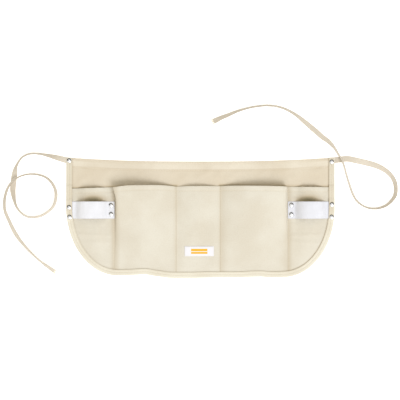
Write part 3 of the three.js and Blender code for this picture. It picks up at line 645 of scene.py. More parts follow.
# Loose threads at the cut end: tapered tubes that bend out sideways as the square of their length.
def makeFray(name, end, heading, wide, thick):
    draw = np.random.default_rng(5 if "left" in name else 6)
    count, sections, sides = ties["frayStrands"], 7, 5
    place = draw.uniform(-0.48, 0.48, count) * ties["width"]
    length = ties["frayLength"] * draw.uniform(0.35, 1, count)
    bend = place * 0.35 + draw.normal(0, 0.9, count) * mm
    rise = draw.normal(0, 0.7, count) * mm
    t = np.linspace(-0.12, 1, sections)
    line = (end + heading * (t * length[:, None])[..., None]
            + wide * (place[:, None] + bend[:, None] * t ** 2)[..., None]
            + thick * (rise[:, None] * t ** 2)[..., None])
    line[..., 2] = np.maximum(line[..., 2], 0.3 * mm)
    radius = 0.22 * mm * (1 - 0.55 * np.clip(t, 0, 1))
    angle = np.linspace(0, 2 * np.pi, sides, endpoint=False)
    circle = np.cos(angle)[:, None] * wide + np.sin(angle)[:, None] * thick
    uv = stacked(t[:, None] * ties["frayLength"], np.zeros(sides))
    return threadMesh(name, line[:, :, None] + radius[:, None, None] * circle, uv, "tie_tape")


makeTie("leftTie", -1, ties["left"])
makeTie("rightTie", 1, ties["right"])
print("ties made")


# Stitches

# Arched capsules along lines on the cloth. Each run is the line's points and the cloth's normals there.
def makeStitches(name, runs, pitch=3.4 * mm, gap=0.9 * mm, radius=0.27 * mm, slot="canvas"):
    sections, sides = 5, 6
    t = np.linspace(-0.5, 0.5, sections)
    angle = np.linspace(0, 2 * np.pi, sides, endpoint=False)
    swell = np.sqrt(np.clip(1 - (2.05 * t) ** 4, 0.05, 1))
    blocks = []
    for line, normal in runs:
        run = lengthAlong(line, 0)
        count = max(1, int(run[-1] / pitch))
        at = (np.arange(count) + 0.5) * run[-1] / count
        sample = lambda v: np.stack([np.interp(at, run, v[:, k]) for k in range(3)], -1)
        centre, up = sample(line), unit(sample(normal))
        ahead = unit(sample(np.gradient(line, run, axis=0)))
        side = unit(np.cross(up, ahead))
        reach = t * (pitch - gap)
        lift = (0.1 - 0.9 * (2 * t) ** 2 * 0.35) * radius
        spine = centre[:, None] + ahead[:, None] * reach[:, None] + up[:, None] * lift[:, None]
        ringed = (side[:, None, None] * np.cos(angle)[:, None] + up[:, None, None] * np.sin(angle)[:, None])
        blocks.append(spine[:, :, None] + ringed * (radius * swell)[:, None, None])
    uv = stacked(t[:, None] * pitch, angle * radius)
    return threadMesh(name, np.concatenate(blocks), uv, slot)


# A row's points and their one normal, up or down.
def levelRow(x, y, z, facing=1):
    line = stacked(x, y, z)
    return line, np.broadcast_to([0.0, 0, facing], line.shape)


# The line across a sheet that meets each of its columns at a fractional row.
def lineOnSheet(front, normal, rows):
    i = np.clip(rows.astype(int), 0, front.shape[1] - 2)
    t = (rows - i)[:, None]
    pick = np.arange(front.shape[0])
    along = lambda v: v[pick, i] * (1 - t) + v[pick, i + 1] * t
    return along(front), along(normal)


# A line this far below a pocket's mouth, following its surface.
def mouthLine(front, normal, below):
    run = lengthAlong(front, 1)
    share = 1 - below / run[:, -1]
    return lineOnSheet(front, normal, share * (front.shape[1] - 1))


# Points evenly spaced along the left, bottom and right edges, and their inward directions.
def stationsAlongEdge(count):
    angle = np.linspace(0, np.pi / 2, 200)

    def sideLine(side):
        corner = np.stack([side * (cornerX + layout["cornerWidth"] * np.cos(angle)),
                           cornerLevel(side) - layout["cornerHeight"] * np.sin(angle)], -1)
        return np.concatenate([[[side * halfWidth, waistTop]], corner])

    x = np.linspace(-cornerX, cornerX, 400)[1:-1]
    hem = stacked(x, hemY(x))
    line = np.concatenate([sideLine(-1), hem, sideLine(1)[::-1]])
    run = lengthAlong(line, 0)
    at = np.linspace(0, run[-1], count)
    line = np.stack([np.interp(at, run, line[:, k]) for k in range(2)], -1)
    heading = unit(np.gradient(line, axis=0))
    return line, np.stack([-heading[:, 1], heading[:, 0]], -1), at


# Binding

binding = {
    "stations": 620,
    "ramp": 7 * mm,
    "margin": 2 * mm,
    "seamInset": 1.7 * mm,
    "secondSeam": 5.6 * mm,
    "puff": 0.35 * mm,
    "pucker": 0.16 * mm,
    "lift": 0.15 * mm,
    "bareEnd": 12,
    "edgeShades": (0.35, 0.9),
    "seamShade": 0.3,
    "secondShade": 0.5,
    "uprightShade": 0.4,
}
loopUpperY, loopLowerY = highest["left_hammer_loop"][1], lowest["left_hammer_loop"][1]


# Underside of the upper leg: over the body, over a pocket below its mouth, over a loop's end.
def coverUnder(y):
    reach = binding["ramp"]
    overPocket = fade(mouthY + reach - y, reach)
    above = (loopUpperY + binding["margin"] + reach - y) / reach
    below = (y - loopLowerY + binding["margin"] + reach) / reach
    overLoop = smoothStep(np.minimum(above, below))
    return bodyTop + clearance + (clearance + canvas) * overPocket + (webbing + clearance) * overLoop


# A shade that goes from its left to its right value, where edges turn away from the light.
def sidedShade(x, left, right):
    return left + (right - left) * fade(x - 120 * mm, 120 * mm)


# The folded tape's section, swept along the edge: the lower leg, half a turn round the cloth's edge, the
# padded upper leg with its rows pulled in, and back along the inside.
def makeBinding():
    line, inward, run = stationsAlongEdge(binding["stations"])
    under = coverUnder(line[:, 1])[:, None]
    reach = np.linspace(0, 1, 19)
    fold = np.linspace(-np.pi / 2, np.pi / 2, 13)
    seam = bindingWidth - binding["seamInset"]
    second = bindingWidth - binding["secondSeam"]
    lift = binding["lift"]
    topOut = tape + (bindingWidth - tape) * reach[1:]
    top = under + tape
    pad = lambda share: binding["puff"] * np.sin(np.pi * np.clip(share, 0, 1)) ** 2
    cushion = pad(topOut / second) + 0.5 * pad((topOut - second) / (seam - second))
    wave = binding["pucker"] * softNoise(run, run * 0, 9 * mm, 3)[:, None] * fade(topOut, seam)
    topZ = top + cushion - 0.1 * mm + np.abs(wave) - 0.18 * mm * hump(topOut - second, 0.7 * mm)
    middle = (top + lift) / 2
    radius = (top - lift) / 2
    outerN = tape * 1.02 - tape * 0.98 * np.cos(fold)
    outerZ = middle + radius * np.sin(fold)
    lowIn = np.linspace(bindingWidth, tape, 12)[:-1]
    flat = lambda n, z: stacked(n, z * np.ones((len(run), 1)))
    innerN = np.array([tape * 1.06, tape * 1.02, tape * 1.02, tape * 1.06])
    innerZ = lift + tape * 0.8 + (under - lift - tape * 0.8) * np.array([0.02, 0.3, 0.7, 0.98])
    section = np.concatenate([
        flat(lowIn, lift * np.ones(11)), flat(outerN, outerZ), flat(topOut, topZ),
        flat(np.array([bindingWidth + 0.22 * mm]), under + tape * 0.5),
        flat(topOut[::-1], under * np.ones(18)), flat(innerN[::-1], innerZ[:, ::-1]),
        flat(lowIn[::-1], (lift + tape * 0.8) * np.ones(11)),
        flat(np.array([bindingWidth + 0.18 * mm]), lift + tape * 0.4),
    ], 1)
    inset = section[..., 0]
    x = line[:, None, 0] + inward[:, None, 0] * inset
    y = line[:, None, 1] + inward[:, None, 1] * inset
    atWaist = fade(line[:, 1] - waistTop + 4 * mm, 4 * mm)[:, None]
    y = y + (waistY(x) - waistTop) * atWaist
    rings = stacked(x, y, section[..., 1])
    uv = stacked(run[:, None], lengthAlong(section, 1))
    # Painted shade at the inner edge, deeper on the right, and in both stitch grooves; darker on the
    # uprights.
    hollow = (sidedShade(x, *binding["edgeShades"]) * hump(inset - bindingWidth, 0.9 * mm)
              + binding["seamShade"] * hump(inset - seam, 0.6 * mm)
              + binding["secondShade"] * hump(inset - second, 0.5 * mm)
              + binding["uprightShade"] * fade(y - loopLowerY, 20 * mm))
    piece = loftRings("edgeBinding", rings, uv, {"hollow": hollow})
    finishPiece(piece, "binding", "binding", "edge_binding")
    sewn = slice(binding["bareEnd"], -binding["bareEnd"])
    spot = lambda inset: (line + inward * inset)[sewn].T
    rows = [levelRow(*spot(inset), top[sewn, 0] + 0.02 * mm) for inset in (seam, second)]
    rows.append(levelRow(*spot(seam), lift + 0.05 * mm, -1))
    makeStitches("bindingStitches", rows, slot="binding")


makeBinding()
print("binding made")


# Body panel, with its waist edge folded to the back

body = {
    "columns": 260,
    "rows": 70,
    "foldWidth": 22 * mm,
    "foldGap": 0.12 * mm,
    "bend": 1.2 * mm,
    "wave": 0.8 * mm,
    "stitchDrops": (3.6 * mm, 19 * mm),
    "mouthShades": {"side": 0.5, "centre": 0.1, "tool": 1.4},
    "lineShade": 0.9,
    "bindingShade": 0.4,
    "foldShade": 0.5,
    "seamShades": (0.75, 0.3),
    "clothShade": 0.38,
}


# Soft waves of the canvas above the pockets, gone under the pockets, the binding and the waist fold.
def bodyLift(x, y):
    free = fade(y - mouthAt(x) - 4 * mm, 14 * mm) * fade(waistY(x) - y, 26 * mm)
    free = free * fade(edgeDistance(x, y) - bindingWidth, 12 * mm)
    waves = 0.8 + softNoise(x, y * 0.6, 70 * mm, 21) + 0.5 * softNoise(x, y, 26 * mm, 22)
    return body["wave"] * free * waves


# Painted shade on the body: a painted shadow over each pocket's mouth, painted shade beside the binding, at
# the fold and its seams, and darker all over below the waist hem.
def bodyShade(x, y, z, waist):
    aboveMouth = y - mouthAt(x)
    onFront = z > bodyTop - 0.1 * mm
    overCentre = fade(x - centreLeft, 6 * mm) * fade(centreRight - x, 6 * mm)
    overTools = fade(x - leftSeam, 8 * mm) * fade(rightSeam - x, 8 * mm) - overCentre
    overSides = 1 - overCentre - overTools
    deep = body["mouthShades"]
    depth = deep["side"] * overSides + deep["centre"] * overCentre + deep["tool"] * overTools
    line = body["lineShade"] * overSides * hump(aboveMouth - 0.4 * mm, 1.5 * mm)
    shade = onFront * (depth * hump(aboveMouth - 1 * mm, 3 * mm) + line)
    shade = shade + body["bindingShade"] * hump(edgeDistance(x, y) - bindingWidth, 2.2 * mm)
    shade = shade + body["foldShade"] * hump(waist - y, 1.4 * mm)
    for drop, depth in zip(body["stitchDrops"], body["seamShades"]):
        shade = shade + depth * hump(waist - y - drop, 0.9 * mm)
    return shade + body["clothShade"] * fade(waist - y - 15 * mm, 3 * mm)


# A closed ring for each column: up the front to the waist, half a turn down to the fold's back, and down the
# underside to the bottom edge. Outside the fold's ends the sheet isn't folded.
def makeBody():
    half = halfWidth - edgeInset
    foldEnd = halfWidth - bindingWidth - clearance
    bend = body["bend"]
    inner = np.linspace(-foldEnd, foldEnd, body["columns"])
    outer = half - (half - foldEnd) * np.linspace(0, 1, 12)[:-1] ** 1.6
    beside = foldEnd + 0.2 * mm
    x = np.concatenate([-outer, [-beside], inner, [beside], outer[::-1]])[:, None]
    folded = (np.abs(x) <= foldEnd + 1e-9).astype(float)
    bottom, waist = bottomY(x, edgeInset), waistY(x)
    share = np.linspace(0, 1, body["rows"])
    frontY = bottom + (waist - bend - bottom) * share
    frontZ = bodyTop + bodyLift(x, frontY)
    turn = np.linspace(np.pi / 2, -np.pi / 2, 11)[1:-1]
    foldLow = body["foldGap"] * folded + bodyUnder * (1 - folded)
    foldMiddle, foldRadius = (bodyTop + foldLow) / 2, (bodyTop - foldLow) / 2
    turnY = waist - bend + bend * np.cos(turn)
    turnZ = foldMiddle + foldRadius * np.sin(turn)
    depth = body["foldWidth"] * folded + 2.4 * mm * (1 - folded)
    backY = waist - bend - (depth - bend) * np.linspace(0, 1, 10)
    backZ = foldLow + 0 * backY
    stepY = waist - depth - 0.1 * mm * np.array([[1.0, 2.0]])
    stepZ = foldLow + (bodyUnder - foldLow) * np.array([[0.5, 0.98]])
    lowY = bottom + (waist - depth - 1 * mm - bottom) * share[::-1]
    lowZ = bodyUnder + bodyLift(x, lowY)
    y = np.concatenate([frontY, turnY, backY, stepY, lowY], 1)
    z = np.concatenate([frontZ, turnZ, backZ, stepZ + 0 * stepY, lowZ], 1)
    rings = stacked(x, y, z)
    piece = loftRings("bodyPanel", rings, rings[..., :2], {"hollow": bodyShade(x, y, z, waist)})
    finishPiece(piece, "upper", "canvas", "body_panel")
    along = np.linspace(-foldEnd + 2 * mm, foldEnd - 2 * mm, 400)
    rows = []
    for drop in body["stitchDrops"]:
        seamY = waistY(along) - drop
        rows.append(levelRow(along, seamY, bodyTop + bodyLift(along, seamY)))
        rows.append(levelRow(along, seamY, 0.25 * mm, -1))
    makeStitches("waistStitches", rows)


makeBody()
print("body made")


# Pockets

pocketLook = {
    "hemDepth": 9.5 * mm,
    "hemPuff": 0.3 * mm,
    "crease": 0.35 * mm,
    "edgeShades": (0.3, 0.75),
    "grooveShade": 0.3,
    "columns": 130,
    "rows": 130,
}


# The folded mouth hem: a low pad with a groove where it is sewn down.
def hemRelief(fromMouth):
    depth = pocketLook["hemDepth"]
    pad = np.sin(np.pi * np.clip(fromMouth / depth, 0, 1)) ** 0.7
    return pocketLook["hemPuff"] * pad - pocketLook["crease"] * hump(fromMouth - depth, 0.9 * mm)


# Painted shade along the binding and in the groove of the mouth's hem.
def pocketShade(x, y, fromMouth):
    besideBinding = sidedShade(x, *pocketLook["edgeShades"]) * hump(edgeDistance(x, y) - bindingWidth, 2 * mm)
    return besideBinding + pocketLook["grooveShade"] * hump(fromMouth - pocketLook["hemDepth"], 1 * mm)


# 0 along the binding, 1 from 10 mm inside it.
def nearBinding(x, y):
    return fade(edgeDistance(x, y) - bindingWidth - 1 * mm, 9 * mm)


sidePockets = {
    "rise": highest["left_side_pocket"][2] - pocketTop,
    "lead": 8 * mm,
    "bend": 0.34,
    "endFlat": 16 * mm,
    "table": [(0, 0), (0.14, 0.04), (0.36, 0.24), (0.6, 0.36), (0.8, 0.4), (0.92, 0.78), (1, 1)],
    "creases": [(-38, 0.55, 0.05), (-50, 0.4, -0.04)],
    "wrinkles": [(0.35, 55, 1, 0, 1), (0.08, 18, 1, 0, 1.6)],
    "seamShade": 0.75,
    "loopShade": 2.1,
}  # table: share of the height up to the mouth, share of rise. Creases: level, height (both in mm), slope


# The table's rise towards the mouth, times fades off the edge and off the seam, with two slanting creases.
def makeSidePocket(name, side, seed):
    node = "left_side_pocket" if side < 0 else "right_side_pocket"
    outer = halfWidth - edgeInset
    inner = abs(leftSeam if side < 0 else rightSeam) + clearance
    nu, nv = pocketLook["columns"], pocketLook["rows"]
    u = np.linspace(0, 1, nu)[:, None]
    x = outer + (inner - outer) * u ** 1.35
    bottom = bottomY(side * x, edgeInset)
    top = mouthAt(side * x)
    y = bottom + (top - bottom) * np.linspace(0, 1, nv)
    x = x + 0 * y
    share = (y - hemLow) / (mouthY - hemLow)
    bend = (outer - bindingWidth - inner - sidePockets["endFlat"]) * sidePockets["bend"]
    offEdge = fade(edgeDistance(side * x, y) - bindingWidth - sidePockets["lead"], bend)
    offSeam = fade(x - inner - sidePockets["endFlat"], bend)
    height = sidePockets["rise"] * curveThrough(sidePockets["table"], share) * offEdge * offSeam
    clear = nearBinding(side * x, y) * fade(x - inner, 10 * mm)
    folds = sum(tall * mm * hump(y - level * mm - slope * (x - inner), 3.4 * mm) for level, tall, slope
                in sidePockets["creases"])
    folds = folds + 0.4 * mm + wrinkles(x, y, sidePockets["wrinkles"], seed)
    height = height + clear * folds * fade(top - y, 12 * mm)
    height = height + clear * hemRelief(top - y)
    middle = stacked(side * x, y, pocketMiddle + height)
    # Painted shadow of the hammer loop on the pocket above it, and painted shade beside the seam and the
    # binding.
    overLoop = hump(y - loopUpperY - 3 * mm, 11 * mm) * hump(x - (inner + outer - bindingWidth) / 2, 24 * mm)
    hollow = (pocketShade(side * x, y, top - y) + sidePockets["seamShade"] * hump(x - inner, 7 * mm)
              + sidePockets["loopShade"] * overLoop)
    piece = clothSheet(name, middle, canvas, lengthsOn(middle) * (side, 1), {"hollow": hollow})
    finishPiece(piece, "canvas", "canvas", node)
    clothArea(middle)
    return outsideFace(middle, canvas)


# A sheet's area from its cells, and at most its outline's box.
def clothArea(middle):
    across, along = np.gradient(middle, axis=0), np.gradient(middle, axis=1)
    width, length = np.ptp(middle[..., 0]), np.ptp(middle[..., 1])
    return float(min(np.linalg.norm(np.cross(across, along), axis=-1).sum(), width * length))


# The face of a sheet that looks up, and its normals, whichever way its grid runs.
def outsideFace(middle, thickness):
    normal = gridNormals(middle)
    normal = normal * np.sign(normal[..., 2].mean())
    return middle + normal * thickness / 2, normal


toolPockets = {
    "wallSteps": 16,
    "panelSteps": 104,
    "rounding": 12,
    "lowRounding": 40,
    "left": {"rise": 21 * mm, "lean": 9 * mm, "bow": 4 * mm, "seed": 61,
             "wallShade": 0.6, "seamShade": 0.25, "seamReach": 6 * mm},
    "right": {"rise": 18 * mm, "lean": 2 * mm, "bow": 1.2 * mm, "seed": 71,
              "wallShade": 0.3, "seamShade": 0.5, "seamReach": 11 * mm},
    "wrinkles": [(0.55, 80, 1, 0, 0.5), (0.14, 34, 1, 0, 1), (0.04, 12, 1.4, 0, 1)],
    "table": [
        (0, 0.4, 0, 0, 0), (0.1, 0.4, 0, 0, 0), (0.2, 0.4, 0.01, 0.18, 0), (0.32, 0.4, 0.05, 0.38, 0),
        (0.48, 0.4, 0.14, 0.64, 0), (0.66, 0.55, 0.42, 0.9, 0), (0.84, 0.9, 0.8, 1.15, 0.14),
        (1, 1, 1, 1.35, 1),
    ],
}  # table: share of the way up, then the shares of the foot, the fold, the swelling and the lean there


# From the seam allowance up the folded wall, over the swollen panel as the curve 2s(1 - s), and down to the
# other seam.
def makeToolPocket(name, side, seam, otherSeam, own):
    share = np.linspace(0, 1, pocketLook["rows"])[:, None]
    atFoot, atFold, swell, lean = (curveThrough(toolPockets["table"], share, k) for k in (1, 2, 3, 4))
    start, width = abs(seam) - clearance / 2, abs(seam - otherSeam) - clearance
    fold = own["rise"] * atFold
    foot = layout["foldFoot"] * atFoot
    tip = foot - own["lean"] * lean
    t = np.linspace(0, 1, toolPockets["wallSteps"])
    s = np.linspace(0, 1, toolPockets["panelSteps"] + 1)[1:]
    wide = width - layout["seamAllowance"] - tip
    end = np.linspace(width - layout["seamAllowance"], width, 5)[1:] * np.ones_like(share)
    before = np.linspace(0, 1, 6)[:-1]
    q = np.concatenate([foot * before, foot + (tip - foot) * t, tip + wide * s, end], 1)
    panel = (1 - s) ** 2 * fold + 2 * s * (1 - s) * own["rise"] * swell
    height = np.concatenate([0 * foot * before, fold * t, panel, 0 * end], 1)
    for step in range(toolPockets["rounding"] + toolPockets["lowRounding"]):
        part = 0.25 if step < toolPockets["rounding"] else 0.25 * (1 - fade(share - 0.45, 0.4))
        q[:, 1:-1] += part * (q[:, :-2] - 2 * q[:, 1:-1] + q[:, 2:])
        height[:, 1:-1] += part * (height[:, :-2] - 2 * height[:, 1:-1] + height[:, 2:])
    x = side * (start - q)
    bow = own["bow"] * (1 - np.abs(2 * np.clip(q / width, 0, 1) - 1) ** layout["bowSquareness"])
    bottom = bottomY(x, edgeInset)
    top = mouthAt(x) + bow
    y = bottom + (top - bottom) * share
    middle = stacked(x, y, pocketMiddle + height)
    fromMouth = top - y
    onPanel = fade(q - 9 * mm, 14 * mm) * fade(width - 3 * mm - q, 14 * mm)
    clear = nearBinding(x, y) * onPanel
    relief = clear * wrinkles(x, y, toolPockets["wrinkles"], own["seed"])
    relief = relief * fade(fromMouth, 16 * mm) * (0.3 + 0.7 * fade(height, 6 * mm))
    relief = relief + nearBinding(x, y) * hemRelief(fromMouth) * fade(q, 8 * mm)
    normal = gridNormals(middle)
    normal = normal * np.sign(normal[..., 2].mean())
    middle = middle + normal * relief[..., None]
    middle[..., 2] = np.maximum(middle[..., 2], pocketMiddle)
    # Painted shade on the folded wall, beside the binding and along the inner seam.
    onWall = fade(layout["foldFoot"] + 8 * mm - q, 12 * mm)
    hollow = (pocketShade(x, y, fromMouth) + own["wallShade"] * onWall + 0.35 * hump(width - q, 1.6 * mm)
              + own["seamShade"] * hump(width - q, own["seamReach"]))
    piece = clothSheet(name, middle, canvas, lengthsOn(middle)[..., ::-1], {"hollow": hollow})
    node = name.replace("ToolPocket", "_tool_pocket")
    finishPiece(piece, "canvas", "canvas", node)
    float(lengthAlong(middle, 1).max())
    return outsideFace(middle.transpose(1, 0, 2), canvas)


centrePocket = {
    "rise": highest["centre_pocket"][2] - pocketTop,
    "arch": 1.3,
    "wrinkles": [(0.3, 55, 1, 0, 1), (0.12, 20, 1, 0.4, 1.5)],
    "seed": 81,
    "table": [(0, 0), (0.08, 0), (0.3, 0.16), (0.62, 0.42), (0.86, 0.78), (1, 1)],
    "seamShade": 0.35,
    "leftShade": 0.1,
}


# The centre pocket's swelling: a flat-topped arch across, and the table's rise towards the mouth.
def centreHeight(x, y):
    shift, width = (centreLeft + centreRight) / 2, centreRight - centreLeft + clearance
    across = np.abs(x - shift) * 2 / (width - 2 * layout["seamAllowance"])
    arch = np.clip(1 - across ** 2, 0, 1) ** centrePocket["arch"]
    share = (y - hemLow) / (mouthY - hemLow)
    return centrePocket["rise"] * curveThrough(centrePocket["table"], share) * arch


# Soft wrinkles, smoothed away where the label is sewn.
def centreRelief(x, y):
    side = np.minimum(x - centreLeft, centreRight - x)
    clear = nearBinding(x, y) * fade(side - 2 * mm, 12 * mm)
    clear = clear * fade(mouthAt(x) - y, 14 * mm)
    underLabel = hump(x - labelBox["x"], 34 * mm) * hump(y - labelBox["y"], 15 * mm)
    relief = wrinkles(x, y, centrePocket["wrinkles"], centrePocket["seed"])
    return clear * (0.4 * mm + relief * (1 - underLabel))


labelBox = {
    "x": float(lowest["label_patch"][0] + highest["label_patch"][0]) / 2,
    "y": float(lowest["label_patch"][1] + highest["label_patch"][1]) / 2,
    "width": float(highest["label_patch"][0] - lowest["label_patch"][0]) - 0.2 * mm,
    "height": float(highest["label_patch"][1] - lowest["label_patch"][1]) - 0.1 * mm,
    "thickness": 0.8 * mm,
    "lift": 0.15 * mm,
    "stripeWidth": 34 * mm,
    "stripes": [(2.6 * mm, 5 * mm), (-3.4 * mm, 4 * mm)],
    "stripeColour": (0.80, 0.45, 0.03, 1),
    "seamInset": 1.3 * mm,
}  # a stripe is its level from the middle and its width


# The swelling with its wrinkles, and the mouth's hem on top.
def makeCentrePocket():
    nu, nv = 100, pocketLook["rows"]
    x = np.linspace(centreLeft, centreRight, nu)[:, None]
    bottom = bottomY(x, edgeInset)
    top = mouthAt(x)
    y = bottom + (top - bottom) * np.linspace(0, 1, nv)
    x = x + 0 * y
    side = np.minimum(x - centreLeft, centreRight - x)
    height = centreHeight(x, y) + centreRelief(x, y)
    height = height + nearBinding(x, y) * hemRelief(top - y) * fade(side, 6 * mm)
    middle = stacked(x, y, pocketMiddle + height)
    # Painted shade along both seams, a little more on the left one.
    hollow = (pocketShade(x, y, top - y) + centrePocket["seamShade"] * hump(side, 2 * mm)
              + centrePocket["leftShade"] * hump(x - centreLeft, 9 * mm))
    piece = clothSheet("centrePocket", middle, canvas, lengthsOn(middle), {"hollow": hollow})
    finishPiece(piece, "canvas", "canvas", "centre_pocket")
    return outsideFace(middle, canvas)


pocketFaces = [
    makeSidePocket("leftSidePocket", -1, 41),
    makeSidePocket("rightSidePocket", 1, 51),
    makeToolPocket("leftToolPocket", -1, leftSeam, centreLeft, toolPockets["left"]),
    makeToolPocket("rightToolPocket", 1, rightSeam, centreRight, toolPockets["right"]),
    makeCentrePocket(),
]


# One row along each mouth hem and one beside each upright seam.
def makePocketStitches():
    rows = [mouthLine(face, normal, pocketLook["hemDepth"]) for face, normal in pocketFaces]
    for x in (centreLeft + 2 * mm, centreRight - 2 * mm, centreLeft - 2 * mm, centreRight + 2 * mm,
              leftSeam - 2.5 * mm, rightSeam + 2.5 * mm):
        y = np.linspace(float(bottomY(x, bindingWidth + 2 * mm)), float(mouthAt(x)) - 1 * mm, 200)
        rows.append(levelRow(x, y, pocketTop + 0.03 * mm))
    makeStitches("pocketStitches", rows)


makePocketStitches()
print("pockets made")


# Hammer loops

loops = {
    "tuck": 9 * mm,
    "lead": 9 * mm,
    "endFlat": 16 * mm,
    "columns": 150,
    "rows": 26,
    "sag": 0.5 * mm,
    "left": 14 * mm,
    "right": 16 * mm,
    "smoothing": 26,
    "shades": {"leftHammerLoop": 0, "rightHammerLoop": 0.35, "edge": 0.4, "tuck": 0.9, "end": 0.5},
}


# Webbing bent as 1 - |2t - 1|^3 between its flat ends, with a slight roll along its two edges.
def makeLoop(name, side, rise):
    outer = halfWidth - bindingWidth + loops["tuck"]
    inner = abs(leftSeam if side < 0 else rightSeam) + 2 * clearance
    length = outer - inner
    q = np.linspace(0, length, loops["columns"])[:, None]
    t = (q - loops["tuck"] - loops["lead"]) / (length - loops["endFlat"] - loops["tuck"] - loops["lead"])
    height = rise * np.where((t > 0) & (t < 1), 1 - np.abs(2 * np.clip(t, 0, 1) - 1) ** 3, 0)
    for _ in range(loops["smoothing"]):
        height[1:-1] = 0.25 * height[:-2] + 0.5 * height[1:-1] + 0.25 * height[2:]
    y = np.linspace(loopLowerY, loopUpperY, loops["rows"])
    edge = np.minimum(y - loopLowerY, loopUpperY - y)
    free = fade(height, 5 * mm)
    roll = -loops["sag"] * hump(edge, 5 * mm) + 0.3 * mm * softNoise(q, y, 30 * mm, 91 + side)
    z = loopUnder + webbing / 2 + height + free * roll
    middle = stacked(side * (outer - q), y, z)
    # Painted shade: the right loop greyer all over, darker along its edges, at the tuck and at the inner end.
    shades = loops["shades"]
    hollow = (shades[name] + shades["edge"] * hump(edge, 0.8 * mm)
              + shades["tuck"] * hump(q - loops["tuck"], 1.5 * mm)
              + shades["end"] * hump(length - q, 0.8 * mm))
    piece = clothSheet(name, middle, webbing, lengthsOn(middle), {"hollow": hollow})
    finishPiece(piece, "webbing", "webbing", name.replace("HammerLoop", "_hammer_loop"))
    float(lengthAlong(middle, 0).max())


makeLoop("leftHammerLoop", -1, loops["left"])
makeLoop("rightHammerLoop", 1, loops["right"])
print("loops made")


# Label

# The label's white weave with two plain stripes, as masks on Object coordinates.
def labelMaterial():
    material = finishes["label"].copy()
    material.name = "labelStripe"
    tree = material.node_tree
    shader = tree.nodes["Principled BSDF"]
    base = shader.inputs["Base Color"].links[0].from_socket
    x, y = axes(tree, objectPlace(tree))[:2]
    soft = 0.15 * mm

    def band(place, middle, size):
        off = mathNode(tree, "ABSOLUTE", minus(tree, place, middle))
        return minus(tree, 1.0, ramp(tree, off, size / 2 - soft, size / 2 + soft))

    rows = [band(y, labelBox["y"] + shift, size) for shift, size in labelBox["stripes"]]
    mask = times(tree, band(x, labelBox["x"], labelBox["stripeWidth"]), mathNode(tree, "MAXIMUM", *rows))
    tree.links.new(mixColour(tree, mask, base, labelBox["stripeColour"]), shader.inputs["Base Color"])
    return material


# A patch that follows the pocket under it, puffed up inside its seam, with one row of stitches all round.
def makeLabel():
    centre = np.array([labelBox["x"], labelBox["y"]])
    half = np.array([labelBox["width"], labelBox["height"]]) / 2
    thickness, inset = labelBox["thickness"], labelBox["seamInset"]
    under = lambda x, y: pocketTop + labelBox["lift"] + centreHeight(x, y) + centreRelief(x, y)
    x = centre[0] + 2 * half[0] * np.linspace(-0.5, 0.5, 60)[:, None]
    y = centre[1] + 2 * half[1] * np.linspace(-0.5, 0.5, 24)
    side = np.minimum(half[0] - np.abs(x - centre[0]), half[1] - np.abs(y - centre[1]))
    seam = hump(side - inset, 0.5 * mm)
    puff = 0.15 * mm * fade(side, 3 * mm) - 0.1 * mm * seam
    middle = stacked(x, y, under(x, y) + thickness / 2 + puff)
    # Painted shade in the groove of the label's seam.
    piece = clothSheet("labelPatch", middle, thickness, middle[..., :2], {"hollow": 0.35 * seam})
    finishPiece(piece, "stripes", "label", "label_patch")
    corners = np.array([(-1, -1), (1, -1), (1, 1), (-1, 1), (-1, -1)]) * (half - inset)
    t = np.linspace(0, 4, 240)
    x, y = (np.interp(t, np.arange(5), corners[:, k]) + centre[k] for k in range(2))
    makeStitches("labelStitches", [levelRow(x, y, under(x, y) + thickness)], pitch=2.4 * mm, gap=0.6 * mm,
                 radius=0.18 * mm, slot="label")


finishes["stripes"] = labelMaterial()
makeLabel()
print("label made")


# Rivets

rivets = {
    "radius": 5 * mm,
    "dome": 2.3 * mm,
    "cap": 3.4 * mm,
    "shank": 1.5 * mm,
    "around": 40,
}


# A turned profile: a slightly flattened dome with a rolled rim, its shank and the cap behind.
def makeRivet(node):
    low, high = lowest[node], highest[node]
    x, y = (low[:2] + high[:2]) / 2
    top, bottom = high[2], low[2]
    under = top - rivets["dome"]
    t = np.linspace(0, np.pi / 2, 14)
    r, h = rivets["radius"], rivets["dome"]
    dome = np.stack([r * 0.97 * np.cos(t), under + h * (0.24 + 0.76 * np.sin(t) ** 1.15)], -1)
    rim = np.array([(r * 0.93, under), (r * 0.985, under + h * 0.06), (r, under + h * 0.15)])
    shank, cap = rivets["shank"], rivets["cap"]
    lower = np.array([(0, bottom), (cap * 0.9, bottom), (cap, bottom + 0.2 * mm), (cap, 0.8 * mm),
                      (cap * 0.9, 0.95 * mm), (shank, 1 * mm), (shank, under)])
    profile = np.concatenate([lower, rim, dome])
    profile[-1, 0] = 0
    angle = np.linspace(0, 2 * np.pi, rivets["around"], endpoint=False)
    ringed = profile[1:-1]
    rings = stacked(x + ringed[:, :1] * np.cos(angle), y + ringed[:, :1] * np.sin(angle), ringed[:, 1:])
    points = np.concatenate([rings.reshape(-1, 3), [[x, y, profile[0, 1]], [x, y, profile[-1, 1]]]])
    number = np.arange(rings.shape[0] * rings.shape[1]).reshape(rings.shape[:2])
    closed = np.concatenate([number, number[:, :1]], 1)
    base, tip = len(points) - 2, len(points) - 1
    nearBase = [[base, int(b), int(a)] for a, b in zip(closed[0, :-1], closed[0, 1:])]
    nearTip = [[tip, int(a), int(b)] for a, b in zip(closed[-1, :-1], closed[-1, 1:])]
    faces = gridQuads(closed).tolist() + nearBase + nearTip
    piece = meshObject(node.replace("_", "") + "Nickel", points, faces)
    fixOutward(piece)
    finishPiece(piece, "nickel", "nickel", node)


for node in sorted(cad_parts):
    if "rivet" in node:
        makeRivet(node)
print("rivets made")


# Floor, lights and world

